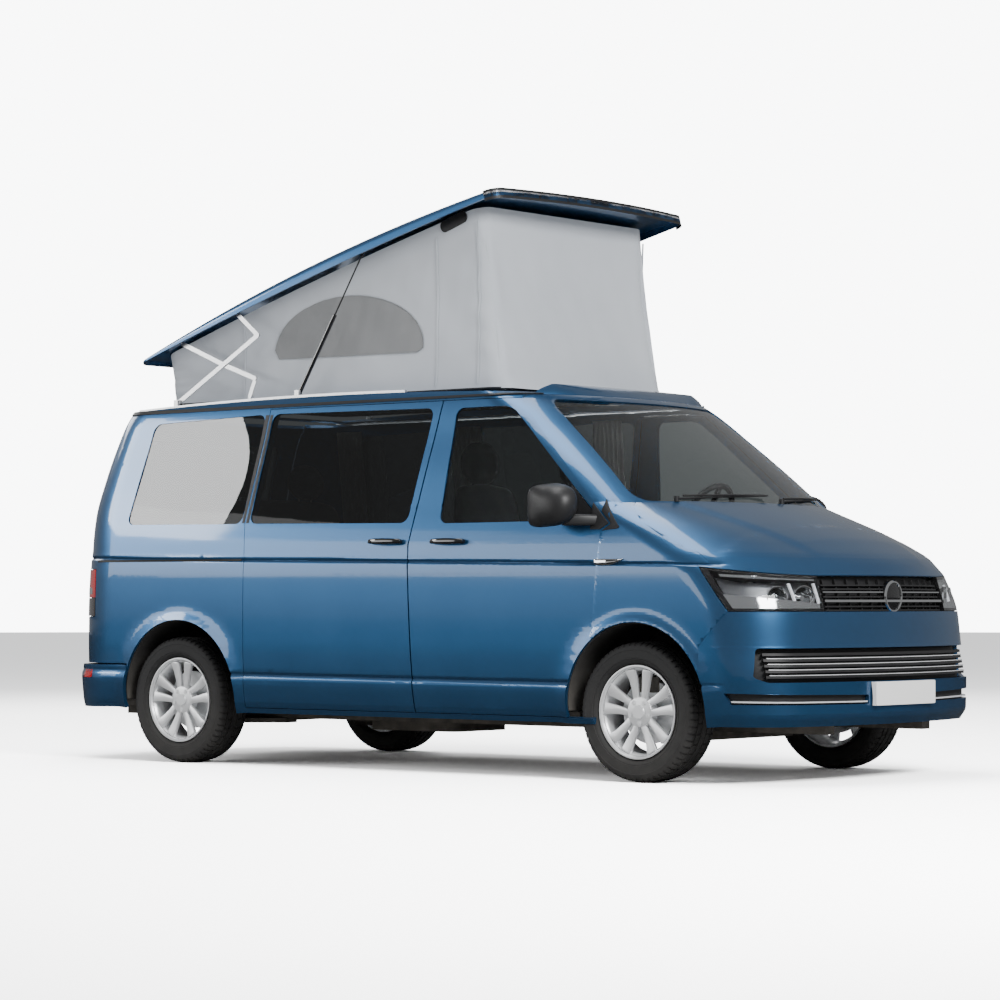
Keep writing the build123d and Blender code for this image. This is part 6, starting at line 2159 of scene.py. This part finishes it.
# ------------------------------------------------------------------ studio
@dataclass
class Studio:
    """Floor, lights and camera."""

    lens: float = 116.07
    location: tuple[float, float, float] = (10.569, -13.019, 0.854)
    azimuth: float = 39.115
    elevation: float = -1.777
    lights: list[tuple[str, tuple[float, float, float], tuple[float, float], float]] = field(default_factory=lambda: [
        ("overhead", (-1.0, -0.5, 8.0), (9.0, 3.6), 600.0),
        ("right_shoulder", (-7.0, -9.5, 2.35), (8.5, 1.9), 190.0),
        ("right_shoulder_upper", (-7.0, -9.5, 3.55), (8.5, 0.4), 14.0),
        ("quarter", (-10.0, -6.96, 4.05), (4.0, 1.5), 260.0),
        ("nose", (9.5, -3.5, 6.0), (4.0, 2.5), 1250.0),
        ("left_high", (-7.5, 8.5, 6.5), (5.0, 3.0), 220.0),
        ("tail", (-10.0, 1.0, 4.6), (4.0, 2.0), 100.0),
    ])

    def build(self) -> None:
        """Make the whole studio."""
        self._floor()
        self._lights()
        self._camera()
        self._world()

    def _floor(self) -> None:
        """Large pale floor, white to the camera and quieter in reflections."""
        mesh = bmesh.new()
        ops.create_circle(mesh, cap_ends=True, segments=96, radius=70.0)
        floor = as_object("studio_floor", mesh)
        material = bpy.data.materials.new("pale_floor")
        material.use_nodes = True
        tree = material.node_tree
        tree.nodes.clear()
        path = tree.nodes.new("ShaderNodeLightPath")
        diffuse = tree.nodes.new("ShaderNodeBsdfDiffuse")
        colour = None
        for ray, shade in (("Is Glossy Ray", 0.05), ("Is Camera Ray", 4.5)):
            mix = tree.nodes.new("ShaderNodeMix")
            mix.data_type = "RGBA"
            mix.inputs["A"].default_value = (0.8, 0.8, 0.8, 1.0)
            mix.inputs["B"].default_value = (shade, shade, shade, 1.0)
            if colour:
                feed(tree, mix.inputs["A"], colour)
            feed(tree, mix.inputs["Factor"], path.outputs[ray])
            colour = mix.outputs["Result"]
        feed(tree, diffuse.inputs["Color"], colour)
        feed(tree, tree.nodes.new("ShaderNodeOutputMaterial").inputs["Surface"], diffuse.outputs[0])
        floor.data.materials.append(material)

    def _lights(self) -> None:
        """Soft area lights, each aimed at the vehicle."""
        for name, place, size, power in self.lights:
            data = bpy.data.lights.new(name, "AREA")
            data.shape = "RECTANGLE"
            data.size, data.size_y = size
            data.energy = power
            lamp = bpy.data.objects.new(name, data)
            lamp.location = place
            lamp.rotation_euler = (Vector((0.0, 0.0, 1.0)) - Vector(place)).to_track_quat("-Z", "Y").to_euler()
            bpy.context.scene.collection.objects.link(lamp)

    def _camera(self) -> None:
        """Camera at the viewing angle."""
        data = bpy.data.cameras.new("view")
        data.lens = self.lens
        data.sensor_width = 36.0
        data.clip_end = 300.0
        camera = bpy.data.objects.new("view", data)
        camera.location = self.location
        azimuth, elevation = math.radians(self.azimuth), math.radians(self.elevation)
        back = Vector((math.sin(azimuth) * math.cos(elevation), -math.cos(azimuth) * math.cos(elevation),
                       math.sin(elevation)))
        camera.rotation_euler = back.to_track_quat("Z", "Y").to_euler()
        bpy.context.scene.collection.objects.link(camera)
        bpy.context.scene.camera = camera

    def _world(self) -> None:
        """Even surroundings, white to the camera and dimmer as light."""
        world = bpy.data.worlds.new("studio")
        world.use_nodes = True
        tree = world.node_tree
        shader = tree.nodes["Background"]
        shader.inputs["Color"].default_value = (0.96, 0.97, 0.98, 1.0)
        seen = tree.nodes.new("ShaderNodeLightPath").outputs["Is Camera Ray"]
        feed(tree, shader.inputs["Strength"], math_node(tree, "MULTIPLY_ADD", seen, 9.0, 0.26))
        bpy.context.scene.world = world


NODE_FINISHES: dict[str, tuple[Finish, str]] = {
    "roof_frame": (PAINT, "paint"), "roof_shell": (PAINT, "paint"), "floor_pan": (UNDERSEAL, "dark_metal"),
    "bulkhead": (DASH, "black_plastic"), "engine_block": (CAST_IRON, "dark_metal"),
    "front_subframe": (UNDERSEAL, "dark_metal"), "rear_axle": (UNDERSEAL, "dark_metal"),
    "fuel_tank": (UNDERSEAL, "black_plastic"), "exhaust": (CAST_IRON, "dark_metal"),
    "wheel_liners": (UNDERSEAL, "black_plastic"), "knuckle_left": (CAST_IRON, "dark_metal"),
    "knuckle_right": (CAST_IRON, "dark_metal"), "dashboard": (DASH, "black_plastic"),
    "steering_wheel": (DASH, "black_plastic"), "galley_unit": (FURNITURE, "furniture"),
    "scissor_bar_lower": (BRUSHED_ALLOY, "alloy"), "scissor_bar_upper": (BRUSHED_ALLOY, "alloy"),
    "scissor_link_upper": (BRUSHED_ALLOY, "alloy"), "scissor_link_lower": (BRUSHED_ALLOY, "alloy"),
    "strut_cylinders": (GLOSS_BLACK, "black_plastic"), "strut_rods": (DARK_METAL, "dark_metal"),
    "roof_rails": (BRUSHED_ALLOY, "alloy"), "mirror_left": (BLACK_TRIM, "black_plastic"),
    "mirror_right": (BLACK_TRIM, "black_plastic"), "upper_grille": (BLACK_TRIM, "black_plastic"),
    "lower_grille": (BLACK_TRIM, "black_plastic"), "number_plate": (PLATE, "plate"),
    "headlamps": (LENS, "glass"), "tail_lamps": (RED_LENS, "lamp_red"),
}
for _corner in ("front_left", "front_right", "rear_left", "rear_right"):
    NODE_FINISHES[f"tyre_{_corner}"] = (RUBBER, "rubber")
    NODE_FINISHES[f"rim_{_corner}"] = (ALLOY, "alloy")


def dress_nodes() -> None:
    """Give every carried-over node its finish."""
    for name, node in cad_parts.items():
        if node.hide_render:
            continue
        look = NODE_FINISHES.get(name, (BLACK_TRIM, ""))[0]
        finish(node, look)


def main() -> None:
    """Build every sub-assembly in order."""
    logging.basicConfig(level=logging.INFO, format="%(message)s")
    BodyShell()
    Glazing()
    POP_TOP.build()
    RoofCanvas().build()
    Wheel().build()
    FrontEnd().build()
    Trim().build()
    Cabin().build()
    dress_nodes()
    Studio().build()


if __name__ == "__main__":
    main()
    bpy.context.view_layer.update()
